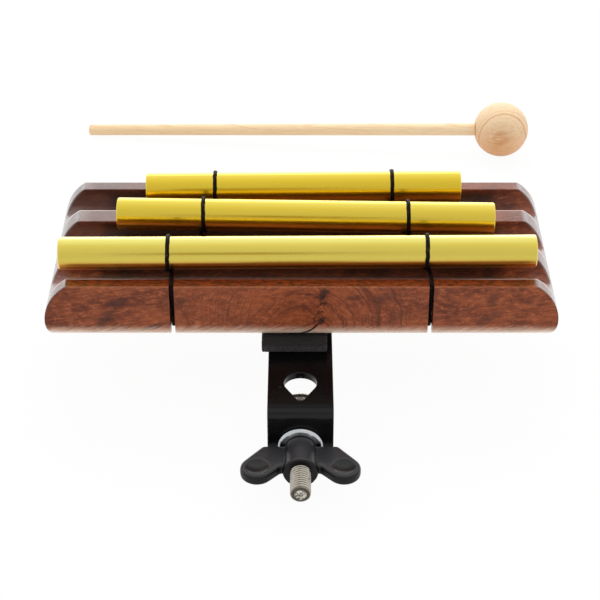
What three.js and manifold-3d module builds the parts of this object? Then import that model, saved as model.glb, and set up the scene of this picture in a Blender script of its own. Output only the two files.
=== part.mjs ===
// Tri-tone chime: three tuned rods on elastic cords over a grooved hardwood base,
// a rod clamp bracket underneath, and a ball mallet lying behind it.
// Millimetres, +Z up. The player stands on the -Y side. The pieces are placed from the
// base (front face at Y 0, underside at Z 0), and the whole group is then moved so that
// the origin lies on the axis of the stand's rod, level with the clamp bolt.

import * as THREE from 'three';
import { mergeVertices } from 'three/addons/utils/BufferGeometryUtils.js';
import Module from 'manifold-3d';

const wasm = await Module();
wasm.setup();

// Base block
const baseHalfLength = 101.5;
const baseHeight = 23.8;
const outerRidge = 6.1;
const innerRidge = 9.1;
const coveWidth = 16.8;
const coveDepth = 8;
const ridgeChamfer = 0.5;
const endRadius = 19.9;
const widestHeight = 7.1;
const endToe = 5.5;
const bottomRound = 4;

// Rods: nodeShare is the share of the length from each end to the cord, and lie is how
// the loose rod has settled on its cords (along X, along Y, and turned in degrees)
const longLength = 187.9;
const middleLength = 153.2;
const shortLength = 130.9;
const rodDiameter = 13.1;
const rodChamfer = 0.7;
const rodLift = 0.6;
const chimes = [
  { name: 'long', length: longLength, nodeShare: 0.229, lie: { x: -1.5, y: -0.4, turn: 0.53 } },
  { name: 'middle', length: middleLength, nodeShare: 0.229, lie: { x: 1.7, y: 1.0, turn: -1.49 } },
  { name: 'short', length: shortLength, nodeShare: 0.219, lie: { x: 0.9, y: -2.2, turn: 0.89 } },
];

// Cords, and the cuts that hold them: returnShare is how far each cord has come back in
// line with its hole where it leaves the rod and meets the back edge of the cove
const cordDiameter = 1.6;
const cordSides = 8;
const cordClearance = 0.15;
const returnShare = 0.25;
const kerfWidth = 1.9;
const kerfDepthTop = 1.9;
const kerfDepthBottom = 7.5;
const cordHoleDiameter = 2.6;
const grooveWidth = 3;
const grooveDepth = 3;
const knotDiameter = 3.8;
const knotHeight = 2.6;
const pocketDiameter = 6;
const pocketDepth = 4;

// Rod clamp bracket
const strapWidth = 25.4;
const strapThickness = 3;
const strapReach = 41;
const strapTail = 29;
const strapCorner = 4;
const bendOuterRadius = 4;
const boltDrop = 16.7;
const bracketShift = -0.4;
const veeRadius = 6.4;
const veeForward = 23;
const veeHalfAngle = 30;
const veeApexRadius = 0.9;
const boltHoleDiameter = 8.8;
const padThickness = 5;
const padWidth = 26.4;
const padReach = 3.9;
const padTail = 30;
const padShift = -2.4;

// Bracket screws
const screwPositions = [9, 21];
const screwDiameter = 3.6;
const screwHeadDiameter = 7.6;
const screwHeadFlat = 4.6;
const screwHeadHeight = 2.6;
const screwHeadRim = 1.2;
const screwLength = 16;
const screwClearance = 0.4;
const screwSeat = 0.3;

// Eye bolt, washer and wing nut: the loosened eye stands a little behind the V-hole
const boltDiameter = 7.9;
const boltShowing = 12.6;
const boltTipChamfer = 0.9;
const eyeHoleDiameter = 10;
const eyeBarWidth = 6.3;
const eyeBarHeight = 7.8;
const eyeNeckTaper = 0.9;
const eyeLoosened = 1;
const washerDiameter = 17.4;
const washerHole = 8.5;
const washerThickness = 1.8;
const seatGap = 0.3;
const nutLength = 14.4;
const nutRearDiameter = 12.4;
const nutFrontDiameter = 13.6;
const nutFrontRound = 0.8;
const nutBore = 8.3;
const wingThickness = 4.6;
const wingBevel = 0.8;
const lobeRadius = 6.4;
const lobeOut = 16.4;
const lobeForward = 12.8;
const wingShoulder = 15.5;
const wingShoulderRound = 2;
const wingRootOut = 7.4;
const wingRootForward = 12.7;
const dimpleRadius = 4.6;
const dimpleDepth = 0.9;

// Mallet, lying on the level of the bracket's lowest point
const malletBall = 27.2;
const malletNeckFlat = 5;
const malletLength = 227.5;
const shaftTipDiameter = 5.4;
const shaftTipRound = 0.4;
const shaftHeadDiameter = 6.2;
const shaftSocket = 15;
const socketClearance = 0.3;
const malletBallX = 103.5;
const malletBallY = 210.3;
const malletTurn = -5.2;

// How far a cutter runs past the faces that it opens
const spill = 1;

// Worked out from the sizes above
const baseDepth = 2 * outerRidge + 2 * innerRidge + 3 * coveWidth;
const coveRadius = ((coveWidth / 2) ** 2 + coveDepth ** 2) / (2 * coveDepth);
const covePitch = innerRidge + coveWidth;
const firstCove = outerRidge + coveWidth / 2;
const firstInnerRidge = outerRidge + coveWidth + innerRidge / 2;
const rodRadius = rodDiameter / 2;
const rodHeight = baseHeight + rodLift + rodRadius;
const cordRadius = cordDiameter / 2;
const ride = cordRadius + cordClearance;
const strapTop = -padThickness - seatGap;
const strapBottom = strapTop - strapThickness;
const boltHeight = strapTop - boltDrop;
const lowestHeight = boltHeight - strapWidth / 2;
const washerBack = strapReach + seatGap;
const nutBack = washerBack + washerThickness + seatGap;
const boltTip = nutBack + nutLength + boltShowing;
const screwHole = screwDiameter + 2 * screwClearance;

const hardwood = { color: 0x6f3b28, roughness: 0.45, metalness: 0 };
const goldAnodised = { color: 0xd9c53e, roughness: 0.3, metalness: 1 };
const blackCord = { color: 0x151317, roughness: 0.85, metalness: 0 };
const blackFoam = { color: 0x2b2829, roughness: 0.95, metalness: 0 };
const blackCoat = { color: 0x141314, roughness: 0.45, metalness: 0.2 };
const bareSteel = { color: 0xb3aea2, roughness: 0.35, metalness: 1 };
const beech = { color: 0xe6c79d, roughness: 0.6, metalness: 0 };

const chime = new THREE.Group();

function piece(name, geometry, finish, parent = chime) {
  const mesh = new THREE.Mesh(geometry, new THREE.MeshStandardMaterial(finish));
  mesh.name = name;
  parent.add(mesh);
  return mesh;
}

function radians(degrees) {
  return THREE.MathUtils.degToRad(degrees);
}

// Points on an arc from one angle to another, in radians, both ends included
function arc(x, y, radiusX, radiusY, from, to, steps) {
  const points = [];
  for (let i = 0; i <= steps; i += 1) {
    const angle = from + ((to - from) * i) / steps;
    points.push(new THREE.Vector2(x + radiusX * Math.cos(angle), y + radiusY * Math.sin(angle)));
  }
  return points;
}

// A closed mesh as a solid that can be joined and cut
function solidOf(geometry) {
  const bare = geometry.clone();
  bare.deleteAttribute('normal');
  bare.deleteAttribute('uv');
  const merged = mergeVertices(bare, 1e-4);
  const corners = merged.index.array;
  const kept = [];
  for (let i = 0; i < corners.length; i += 3) {
    const [a, b, c] = [corners[i], corners[i + 1], corners[i + 2]];
    if (a !== b && b !== c && c !== a) {
      kept.push(a, b, c);
    }
  }
  return new wasm.Manifold(new wasm.Mesh({
    numProp: 3,
    vertProperties: new Float32Array(merged.attributes.position.array),
    triVerts: new Uint32Array(kept),
  }));
}

function geometryOf(solid) {
  const mesh = solid.getMesh();
  const geometry = new THREE.BufferGeometry();
  const places = new THREE.BufferAttribute(new Float32Array(mesh.vertProperties), 3);
  geometry.setAttribute('position', places);
  geometry.setIndex(new THREE.BufferAttribute(new Uint32Array(mesh.triVerts), 1));
  geometry.computeVertexNormals();
  return geometry;
}

function cut(solid, cutters) {
  return cutters.reduce((left, cutter) => left.subtract(cutter), solid);
}

// An outline drawn in X and Z, extruded along +Y from y
function alongY(points, y, depth) {
  const shape = new THREE.Shape(points);
  const geometry = new THREE.ExtrudeGeometry(shape, { depth, bevelEnabled: false });
  return geometry.rotateX(Math.PI / 2).translate(0, y + depth, 0);
}

// An outline drawn in Y and Z, extruded along X about x
function alongX(points, x, width) {
  const shape = new THREE.Shape(points);
  const geometry = new THREE.ExtrudeGeometry(shape, { depth: width, bevelEnabled: false });
  const turn = new THREE.Matrix4().set(0, 0, 1, 0, 1, 0, 0, 0, 0, 1, 0, 0, 0, 0, 0, 1);
  return geometry.applyMatrix4(turn).translate(x - width / 2, 0, 0);
}

// An outline drawn in X and Y, extruded along +Z from z
function alongZ(points, z, height) {
  const shape = new THREE.Shape(points);
  const geometry = new THREE.ExtrudeGeometry(shape, { depth: height, bevelEnabled: false });
  return geometry.translate(0, 0, z);
}

function uprightPin(x, y, diameter, bottom, top, sides = 16) {
  const geometry = new THREE.CylinderGeometry(diameter / 2, diameter / 2, top - bottom, sides);
  return solidOf(geometry.rotateX(Math.PI / 2).translate(x, y, (bottom + top) / 2));
}

function block(width, depth, height, x, y, z) {
  return solidOf(new THREE.BoxGeometry(width, depth, height).translate(x, y, z));
}

// The grooved section across the base, from the player's side to the back
function baseSection() {
  const quarter = Math.PI / 2;
  const points = [
    ...arc(bottomRound, bottomRound, bottomRound, bottomRound, -2 * quarter, -quarter, 4),
    ...arc(baseDepth - bottomRound, bottomRound, bottomRound, bottomRound, -quarter, 0, 4),
    new THREE.Vector2(baseDepth, baseHeight - ridgeChamfer),
    new THREE.Vector2(baseDepth - ridgeChamfer, baseHeight),
  ];
  const coveCentre = baseHeight - coveDepth + coveRadius;
  const lip = Math.asin((baseHeight - ridgeChamfer - coveCentre) / coveRadius);
  for (let i = 2; i >= 0; i -= 1) {
    const y = firstCove + i * covePitch;
    const cove = arc(y, coveCentre, coveRadius, coveRadius, lip, -Math.PI - lip, 12);
    points.push(new THREE.Vector2(cove[0].x + ridgeChamfer, baseHeight));
    points.push(...cove);
    points.push(new THREE.Vector2(cove[cove.length - 1].x - ridgeChamfer, baseHeight));
  }
  points.push(new THREE.Vector2(ridgeChamfer, baseHeight));
  points.push(new THREE.Vector2(0, baseHeight - ridgeChamfer));
  return points;
}

// The outline along the base, with both ends rounded over
function baseOutline() {
  const quarter = Math.PI / 2;
  const top = Math.asin((baseHeight - widestHeight) / endRadius);
  const toe = arc(baseHalfLength - endToe, widestHeight, endToe, widestHeight, -quarter, 0, 5);
  const slope = arc(baseHalfLength - endRadius, widestHeight, endRadius, endRadius, 0, top, 8);
  const right = [...toe, ...slope.slice(1)];
  const left = right.map((p) => new THREE.Vector2(-p.x, p.y)).reverse();
  return [...right, ...left];
}

// Where each rod hangs, and the two edges of wood that its cords go round
function hangers() {
  const frontHole = firstInnerRidge;
  const backHole = firstInnerRidge + covePitch;
  const mouth = cordHoleDiameter / 2;
  return chimes.map((spec, i) => {
    const reach = spec.length * (0.5 - spec.nodeShare);
    const cove = firstCove + i * covePitch;
    const front = [
      { low: kerfFloor(grooveDepth), high: kerfFloor(baseHeight), ridge: outerRidge },
      { low: frontHole + mouth, high: frontHole + mouth, ridge: cove - coveWidth / 2 },
      { low: backHole + mouth, high: backHole + mouth, ridge: cove - coveWidth / 2 },
    ][i];
    const back = [
      { low: frontHole - mouth, high: frontHole - mouth },
      { low: backHole - mouth, high: backHole - mouth },
      { low: baseDepth - kerfFloor(grooveDepth), high: baseDepth - kerfFloor(baseHeight) },
    ][i];
    return { ...spec, reach, cove, front, back };
  });
}

// How far in from the base's face a sloped kerf reaches at a height
function kerfFloor(z) {
  return kerfDepthBottom + ((kerfDepthTop - kerfDepthBottom) * z) / baseHeight;
}

function kerfCutter(x, fromBack) {
  const profile = [
    new THREE.Vector2(-spill, -spill),
    new THREE.Vector2(kerfFloor(-spill), -spill),
    new THREE.Vector2(kerfFloor(baseHeight + spill), baseHeight + spill),
    new THREE.Vector2(-spill, baseHeight + spill),
  ];
  const placed = fromBack
    ? profile.map((p) => new THREE.Vector2(baseDepth - p.x, p.y)).reverse()
    : profile;
  return solidOf(alongX(placed, x, kerfWidth));
}

// The cords lie against the outer wall of their kerfs, so a kerf sits a little inward
function kerfX(x) {
  const inward = kerfWidth / 2 - cordRadius - cordClearance;
  return x - Math.sign(x) * inward;
}

function woodBase() {
  const section = solidOf(alongX(baseSection(), 0, 2 * (baseHalfLength + spill)));
  const outline = solidOf(alongY(baseOutline(), -spill, baseDepth + 2 * spill));
  const cutters = [];
  const mouth = cordHoleDiameter / 2;
  hangers().forEach((hanger, i) => {
    [-1, 1].forEach((side) => {
      const x = side * hanger.reach;
      const start = i === 0 ? hanger.front.low - mouth : hanger.front.low - 2 * mouth;
      const end = i === 2 ? hanger.back.low + mouth : hanger.back.low + 2 * mouth;
      const middle = (hanger.front.low + hanger.back.low) / 2;
      cutters.push(block(
        grooveWidth,
        end - start,
        grooveDepth + spill,
        x,
        (start + end) / 2,
        (grooveDepth - spill) / 2,
      ));
      cutters.push(uprightPin(x, middle, pocketDiameter, -spill, pocketDepth));
      if (i === 0) {
        cutters.push(kerfCutter(kerfX(x), false));
      } else {
        const hole = hanger.front.low - mouth;
        cutters.push(uprightPin(x, hole, cordHoleDiameter, -spill, baseHeight + spill, 12));
      }
      if (i === 2) {
        cutters.push(kerfCutter(kerfX(x), true));
      } else {
        const hole = hanger.back.low + mouth;
        cutters.push(uprightPin(x, hole, cordHoleDiameter, -spill, baseHeight + spill, 12));
      }
    });
  });
  cutters.push(...screwHoles(-spill, strapBottom + screwLength + screwClearance));
  piece('wood_base', geometryOf(cut(section.intersect(outline), cutters)), hardwood);
}

function rod(spec, i) {
  const half = spec.length / 2;
  const profile = [
    new THREE.Vector2(0, -half),
    new THREE.Vector2(rodRadius - rodChamfer, -half),
    new THREE.Vector2(rodRadius, -half + rodChamfer),
    new THREE.Vector2(rodRadius, half - rodChamfer),
    new THREE.Vector2(rodRadius - rodChamfer, half),
    new THREE.Vector2(0, half),
  ];
  const geometry = new THREE.LatheGeometry(profile, 36).rotateZ(-Math.PI / 2);
  const mesh = piece(`chime_rod_${spec.name}`, geometry, goldAnodised);
  mesh.position.set(spec.lie.x, firstCove + i * covePitch + spec.lie.y, rodHeight);
  mesh.rotation.z = radians(spec.lie.turn);
}

// A held cord's line: three.js samples it once at each station, so that the bends keep
// their stations and the straight runs need none between their ends
class HeldLine extends THREE.Curve {
  constructor(stations) {
    super();
    this.stations = stations;
  }

  getUtoTmapping(share) {
    return share;
  }

  getPoint(share, target = new THREE.Vector3()) {
    const last = this.stations.length - 1;
    const place = Math.min(Math.max(share, 0), 1) * last;
    const before = Math.min(Math.floor(place), last - 1);
    return target.lerpVectors(this.stations[before], this.stations[before + 1], place - before);
  }
}

// Straight line that leaves one circle over its top and meets the next under its bottom
function crossingSlope(y1, z1, radius1, y2, z2, radius2) {
  const apart = Math.hypot(y2 - y1, z2 - z1);
  return Math.atan2(z2 - z1, y2 - y1) - Math.asin((radius1 + radius2) / apart);
}

// The closed route of one cord, from its knot up the front side, once round the rod, and
// down the back side to the knot again
function cordRoute(hanger, side) {
  const stations = [];
  const x = side * hanger.reach;
  const turn = radians(hanger.lie.turn);
  const nodeX = hanger.lie.x + side * hanger.reach * Math.cos(turn);
  const nodeY = hanger.cove + hanger.lie.y + side * hanger.reach * Math.sin(turn);
  const lead = Math.sign(x - nodeX) * ride;
  const coil = rodRadius + ride;
  const at = (px, y, z) => stations.push(new THREE.Vector3(px, y, z));
  const round = (px, y, z, from, to, steps) => {
    arc(y, z, ride, ride, from, to, steps).forEach((p) => at(px, p.x, p.y));
  };
  const { front, back, cove } = hanger;
  const quarter = Math.PI / 2;
  const frontLean = Math.atan2(front.low - front.high, baseHeight - grooveDepth);
  const backLean = Math.atan2(back.high - back.low, baseHeight - grooveDepth);
  const frontEdge = cove - coveWidth / 2 - ridgeChamfer;
  const backEdge = cove + coveWidth / 2 + ridgeChamfer;
  const middle = (front.low + back.low) / 2;
  at(x, middle, grooveDepth - ride);
  round(x, front.low, grooveDepth, -quarter, -2 * quarter + frontLean, 3);
  round(x, front.high, baseHeight, 2 * quarter + frontLean, quarter, 3);
  const down = crossingSlope(frontEdge, baseHeight, ride, nodeY, rodHeight, coil);
  round(x, frontEdge, baseHeight, quarter, quarter + down, 1);
  const up = crossingSlope(-backEdge, baseHeight, ride, -nodeY, rodHeight, coil);
  const turns = 16;
  const sweep = 2 * Math.PI - up - down;
  const reach = coil / Math.cos(sweep / turns / 2);
  for (let i = 0; i <= turns; i += 1) {
    const angle = down + (sweep * i) / turns;
    const drift = lead * (1 - (2 * i) / turns);
    at(nodeX + drift, nodeY + reach * Math.sin(angle), rodHeight - reach * Math.cos(angle));
  }
  const leave = nodeX - lead;
  const partWay = leave + (x - leave) * returnShare;
  round(partWay, backEdge, baseHeight, quarter - up, quarter, 1);
  round(x, back.high, baseHeight, quarter, -backLean, 3);
  round(x, back.low, grooveDepth, -backLean, -quarter, 3);
  at(x, middle, grooveDepth - ride);
  return stations;
}

function heldCord(hanger, side) {
  const stations = cordRoute(hanger, side);
  const lastCorner = 2 * Math.PI * (1 - 1 / cordSides);
  const corners = arc(0, 0, cordRadius, cordRadius, 0, lastCorner, cordSides - 1);
  const profile = new THREE.Shape(corners);
  const tube = new THREE.ExtrudeGeometry(profile, {
    steps: stations.length - 1,
    bevelEnabled: false,
    extrudePath: new HeldLine(stations),
  });
  const knot = new THREE.SphereGeometry(knotDiameter / 2, 10, 8);
  knot.rotateX(Math.PI / 2).scale(1, 1, knotHeight / knotDiameter);
  knot.translate(stations[0].x, stations[0].y, stations[0].z);
  const name = `cord_${hanger.name}_${side < 0 ? 'left' : 'right'}`;
  piece(name, geometryOf(solidOf(tube).add(solidOf(knot))), blackCord);
}

function screwHoles(bottom, top) {
  return screwPositions.map((y) => uprightPin(bracketShift, y, screwHole, bottom, top, 12));
}

function bracketPad() {
  const depth = padReach + padTail;
  const x = bracketShift + padShift;
  const y = (padTail - padReach) / 2;
  const pad = block(padWidth, depth, padThickness - seatGap, x, y, -(padThickness + seatGap) / 2);
  const holes = screwHoles(-padThickness - spill, spill);
  piece('bracket_pad', geometryOf(cut(pad, holes)), blackFoam);
}

// The L of the strap, drawn in Y and Z
function strapSection() {
  const inner = bendOuterRadius - strapThickness;
  const y = -strapReach + bendOuterRadius;
  const z = strapTop - bendOuterRadius;
  const half = Math.PI / 2;
  return [
    new THREE.Vector2(strapTail, strapBottom),
    new THREE.Vector2(strapTail, strapTop),
    ...arc(y, z, bendOuterRadius, bendOuterRadius, half, 2 * half, 6),
    new THREE.Vector2(-strapReach, lowestHeight),
    new THREE.Vector2(-strapReach + strapThickness, lowestHeight),
    ...arc(y, z, inner, inner, 2 * half, half, 6),
  ];
}

// The V-hole: a round hole whose two flats run forward to a small rounded apex
function veeOutline() {
  const lean = radians(veeHalfAngle);
  const apexBack = (veeRadius - veeApexRadius) / Math.sin(lean);
  const apexY = -veeForward - apexBack;
  return [
    ...arc(bracketShift, -veeForward, veeRadius, veeRadius, -lean, Math.PI + lean, 18),
    ...arc(bracketShift, apexY, veeApexRadius, veeApexRadius, Math.PI + lean, 2 * Math.PI - lean, 4),
  ];
}

function mountBracket() {
  const half = strapWidth / 2;
  const shoulder = strapTop + spill;
  const front = [
    ...arc(bracketShift, boltHeight, half, half, -Math.PI, 0, 18),
    new THREE.Vector2(bracketShift + half, shoulder),
    new THREE.Vector2(bracketShift - half, shoulder),
  ];
  const tailX = half - strapCorner;
  const tailY = strapTail - strapCorner;
  const quarter = Math.PI / 2;
  const plan = [
    new THREE.Vector2(bracketShift - half, -strapReach - spill),
    new THREE.Vector2(bracketShift + half, -strapReach - spill),
    ...arc(bracketShift + tailX, tailY, strapCorner, strapCorner, 0, quarter, 4),
    ...arc(bracketShift - tailX, tailY, strapCorner, strapCorner, quarter, 2 * quarter, 4),
  ];
  const strap = solidOf(alongX(strapSection(), bracketShift, strapWidth + 2 * spill));
  const frontDepth = strapReach + strapTail + 2 * spill;
  const frontCut = solidOf(alongY(front, -strapReach - spill, frontDepth));
  const planHeight = strapTop - lowestHeight + 2 * spill;
  const planCut = solidOf(alongZ(plan, lowestHeight - spill, planHeight));
  const boltHole = new THREE.CylinderGeometry(
    boltHoleDiameter / 2,
    boltHoleDiameter / 2,
    strapThickness + 2 * spill,
    24,
  );
  boltHole.translate(bracketShift, strapThickness / 2 - strapReach, boltHeight);
  const cutters = [
    solidOf(alongZ(veeOutline(), strapBottom - spill, strapThickness + 2 * spill)),
    solidOf(boltHole),
    ...screwHoles(strapBottom - spill, strapTop + spill),
  ];
  const shaped = strap.intersect(frontCut).intersect(planCut);
  piece('mount_bracket', geometryOf(cut(shaped, cutters)), blackCoat);
}

// A pan-head wood screw, head down under the strap
function bracketScrew(name, y) {
  const seat = strapBottom - screwSeat;
  const tip = seat + screwLength;
  const headRadius = screwHeadDiameter / 2;
  const shank = screwDiameter / 2;
  const profile = [
    new THREE.Vector2(0, seat - screwHeadHeight),
    new THREE.Vector2(screwHeadFlat / 2, seat - screwHeadHeight),
    new THREE.Vector2(headRadius, seat - screwHeadRim),
    new THREE.Vector2(headRadius, seat),
    new THREE.Vector2(shank, seat),
    new THREE.Vector2(shank, tip - screwDiameter),
    new THREE.Vector2(0, tip),
  ];
  const geometry = new THREE.LatheGeometry(profile, 14).rotateX(Math.PI / 2);
  piece(name, geometry, bareSteel).position.set(bracketShift, y, 0);
}

// The ring stands level, so that the stand's rod passes up through it and the V-hole
function eyeBolt() {
  const bar = eyeBarWidth / 2;
  const ringRadius = eyeHoleDiameter / 2 + bar;
  const ringCentre = eyeLoosened - veeForward;
  const ring = new THREE.TorusGeometry(ringRadius, bar, 12, 28);
  ring.scale(1, 1, eyeBarHeight / eyeBarWidth).translate(bracketShift, ringCentre, boltHeight);
  const start = ringCentre - ringRadius;
  const length = boltTip + start;
  const radius = boltDiameter / 2;
  const profile = [
    new THREE.Vector2(0, 0),
    new THREE.Vector2(radius - eyeNeckTaper, 0),
    new THREE.Vector2(radius, bar),
    new THREE.Vector2(radius, length - boltTipChamfer),
    new THREE.Vector2(radius - boltTipChamfer, length),
    new THREE.Vector2(0, length),
  ];
  const shank = new THREE.LatheGeometry(profile, 24).rotateX(Math.PI);
  shank.translate(bracketShift, start, boltHeight);
  piece('eye_bolt', geometryOf(solidOf(ring).add(solidOf(shank))), bareSteel);
}

// A ring or sleeve about the bolt, from its back face forward
function sleeve(backRadius, frontRadius, boreRadius, back, length, round = 0, sides = 32) {
  const profile = [
    new THREE.Vector2(boreRadius, 0),
    new THREE.Vector2(backRadius, 0),
    new THREE.Vector2(frontRadius, length - round),
    new THREE.Vector2(frontRadius - round, length),
    new THREE.Vector2(boreRadius, length),
    new THREE.Vector2(boreRadius, 0),
  ];
  const kept = round > 0 ? profile : profile.filter((p, i) => i !== 3);
  const geometry = new THREE.LatheGeometry(kept, sides).rotateX(Math.PI);
  return geometry.translate(bracketShift, -back, boltHeight);
}

function clampWasher() {
  const outer = washerDiameter / 2;
  const geometry = sleeve(outer, outer, washerHole / 2, washerBack, washerThickness);
  piece('clamp_washer', geometry, bareSteel);
}

// The angle at which a line touches two circles from outside, on one side of them
function touchAngle(x1, y1, radius1, x2, y2, radius2, side) {
  const apart = Math.hypot(x2 - x1, y2 - y1);
  return Math.atan2(y2 - y1, x2 - x1) + side * Math.acos((radius1 - radius2) / apart);
}

// One wing's outline in X and Y, for the +X side, measured from the nut's back face: from
// its root round the thumb lobe to a small shoulder, each joined by a touching line
function wingOutline() {
  const x = wingShoulder - wingShoulderRound;
  const y = -seatGap - wingShoulderRound;
  const lobe = [lobeOut, -lobeForward, lobeRadius];
  const root = touchAngle(wingRootOut, -wingRootForward, 0, ...lobe, -1);
  const shoulder = touchAngle(x, y, wingShoulderRound, ...lobe, 1);
  return [
    new THREE.Vector2(0, -wingRootForward),
    new THREE.Vector2(wingRootOut, -wingRootForward),
    ...arc(lobeOut, -lobeForward, lobeRadius, lobeRadius, root, shoulder, 12),
    ...arc(x, y, wingShoulderRound, wingShoulderRound, shoulder, Math.PI / 2, 3),
    new THREE.Vector2(0, -seatGap),
  ];
}

// The lens that cuts one thumb dimple, its bowl down on the origin's level
function dimpleLens() {
  const ball = (dimpleRadius ** 2 + dimpleDepth ** 2) / (2 * dimpleDepth);
  const rim = Math.acos((ball - dimpleDepth - wingBevel) / ball);
  const bowl = arc(0, ball - dimpleDepth, ball, ball, -Math.PI / 2, rim - Math.PI / 2, 5);
  const profile = [...bowl, new THREE.Vector2(0, bowl[bowl.length - 1].y)];
  profile[0].x = 0;
  return new THREE.LatheGeometry(profile, 24);
}

function wingNut() {
  const flat = wingThickness - 2 * wingBevel;
  const right = new THREE.ExtrudeGeometry(new THREE.Shape(wingOutline()), {
    depth: flat,
    bevelThickness: wingBevel,
    bevelSize: wingBevel,
    bevelOffset: -wingBevel,
    bevelSegments: 2,
  });
  right.translate(0, 0, -flat / 2);
  const left = right.clone().rotateY(Math.PI);
  [right, left].forEach((wing) => wing.translate(bracketShift, -nutBack, boltHeight));
  const [rear, nose] = [nutRearDiameter / 2, nutFrontDiameter / 2];
  const barrel = sleeve(rear, nose, nutBore / 2, nutBack, nutLength, nutFrontRound);
  const boreLength = 3 * nutLength;
  const bore = new THREE.CylinderGeometry(nutBore / 2, nutBore / 2, boreLength, 32);
  bore.translate(bracketShift, -nutBack, boltHeight);
  const dimples = [];
  [-1, 1].forEach((side) => {
    [-1, 1].forEach((face) => {
      const lens = dimpleLens().rotateX((face * Math.PI) / 2);
      const z = boltHeight + (face * wingThickness) / 2;
      lens.translate(bracketShift + side * lobeOut, -nutBack - lobeForward, z);
      dimples.push(solidOf(lens));
    });
  });
  const wings = cut(solidOf(right).add(solidOf(left)), [solidOf(bore), ...dimples]);
  piece('wing_nut', geometryOf(solidOf(barrel).add(wings)), blackCoat);
}

// The mallet is drawn along X with its ball's centre at 0, then laid down on its tip
function mallet() {
  const radius = malletBall / 2;
  const handle = new THREE.Group();
  const reach = malletLength - radius;
  const socketEnd = radius - shaftSocket;
  const dip = Math.asin((radius - shaftTipDiameter / 2) / reach);
  handle.position.set(malletBallX, malletBallY, lowestHeight + radius);
  handle.rotation.set(0, -dip, radians(malletTurn), 'ZYX');
  chime.add(handle);

  const tip = shaftTipDiameter / 2;
  const neck = shaftHeadDiameter / 2;
  const shaftProfile = [
    new THREE.Vector2(0, -socketEnd),
    new THREE.Vector2(neck, -socketEnd),
    new THREE.Vector2(neck, radius),
    new THREE.Vector2(tip, reach - shaftTipRound),
    new THREE.Vector2(tip - shaftTipRound, reach),
    new THREE.Vector2(0, reach),
  ];
  const shaft = new THREE.LatheGeometry(shaftProfile, 18).rotateZ(Math.PI / 2);
  piece('mallet_shaft', shaft, beech, handle);

  const bore = neck + socketClearance;
  const flat = Math.asin(malletNeckFlat / radius);
  const skin = arc(0, 0, radius, radius, -Math.PI / 2, Math.PI / 2 - flat, 14);
  const headProfile = [
    ...skin.map((p, i) => (i === 0 ? new THREE.Vector2(0, p.y) : p)),
    new THREE.Vector2(bore, skin[skin.length - 1].y),
    new THREE.Vector2(bore, -socketEnd - socketClearance),
    new THREE.Vector2(0, -socketEnd - socketClearance),
  ];
  const head = new THREE.LatheGeometry(headProfile, 28).rotateZ(Math.PI / 2);
  piece('mallet_head', head, beech, handle);
}

woodBase();
chimes.forEach(rod);
hangers().forEach((hanger) => [-1, 1].forEach((side) => heldCord(hanger, side)));
bracketPad();
mountBracket();
bracketScrew('bracket_screw_front', screwPositions[0]);
bracketScrew('bracket_screw_rear', screwPositions[1]);
eyeBolt();
clampWasher();
wingNut();
mallet();

chime.position.set(-bracketShift, veeForward, -boltHeight);

export default chime;
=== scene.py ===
from math import acos, asin, atan2, ceil, copysign, cos, hypot, pi, radians, sin
from types import SimpleNamespace

import bmesh
import bpy
import numpy as np
from mathutils import Matrix, Vector, noise
from numpy.linalg import norm


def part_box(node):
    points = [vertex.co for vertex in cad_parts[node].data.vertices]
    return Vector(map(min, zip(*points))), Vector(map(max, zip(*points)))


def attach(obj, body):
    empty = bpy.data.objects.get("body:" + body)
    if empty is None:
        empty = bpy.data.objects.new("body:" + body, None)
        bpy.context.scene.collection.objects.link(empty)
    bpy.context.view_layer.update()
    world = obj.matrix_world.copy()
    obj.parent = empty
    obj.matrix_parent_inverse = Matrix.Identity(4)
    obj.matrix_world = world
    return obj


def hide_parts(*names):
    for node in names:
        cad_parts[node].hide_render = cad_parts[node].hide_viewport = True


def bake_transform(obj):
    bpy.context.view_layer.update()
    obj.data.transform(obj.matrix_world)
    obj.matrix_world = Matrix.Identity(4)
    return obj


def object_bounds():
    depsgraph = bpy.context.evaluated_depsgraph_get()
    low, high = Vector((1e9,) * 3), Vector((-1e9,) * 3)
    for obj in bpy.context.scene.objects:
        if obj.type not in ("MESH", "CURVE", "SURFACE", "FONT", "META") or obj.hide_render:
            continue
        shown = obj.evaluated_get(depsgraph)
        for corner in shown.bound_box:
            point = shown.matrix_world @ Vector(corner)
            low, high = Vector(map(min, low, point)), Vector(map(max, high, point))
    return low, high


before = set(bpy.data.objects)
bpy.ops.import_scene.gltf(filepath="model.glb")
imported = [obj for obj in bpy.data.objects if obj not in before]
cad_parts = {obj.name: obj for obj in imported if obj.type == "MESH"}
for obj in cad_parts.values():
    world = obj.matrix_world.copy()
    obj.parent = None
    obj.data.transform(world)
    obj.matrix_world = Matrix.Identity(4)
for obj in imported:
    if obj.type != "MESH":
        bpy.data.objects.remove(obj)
cad_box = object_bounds()

MM = 0.001
QUARTER = pi / 2

# Base block
OUTER_RIDGE = 6.1
INNER_RIDGE = 9.1
COVE_WIDTH = 16.8
COVE_DEPTH = 8.0
END_RADIUS = 19.9
WIDEST_HEIGHT = 7.1
END_TOE = 5.5
BOTTOM_ROUND = 4.0
EDGE_ROUND = 0.35
EVEN_ANGLE = 50

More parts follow.
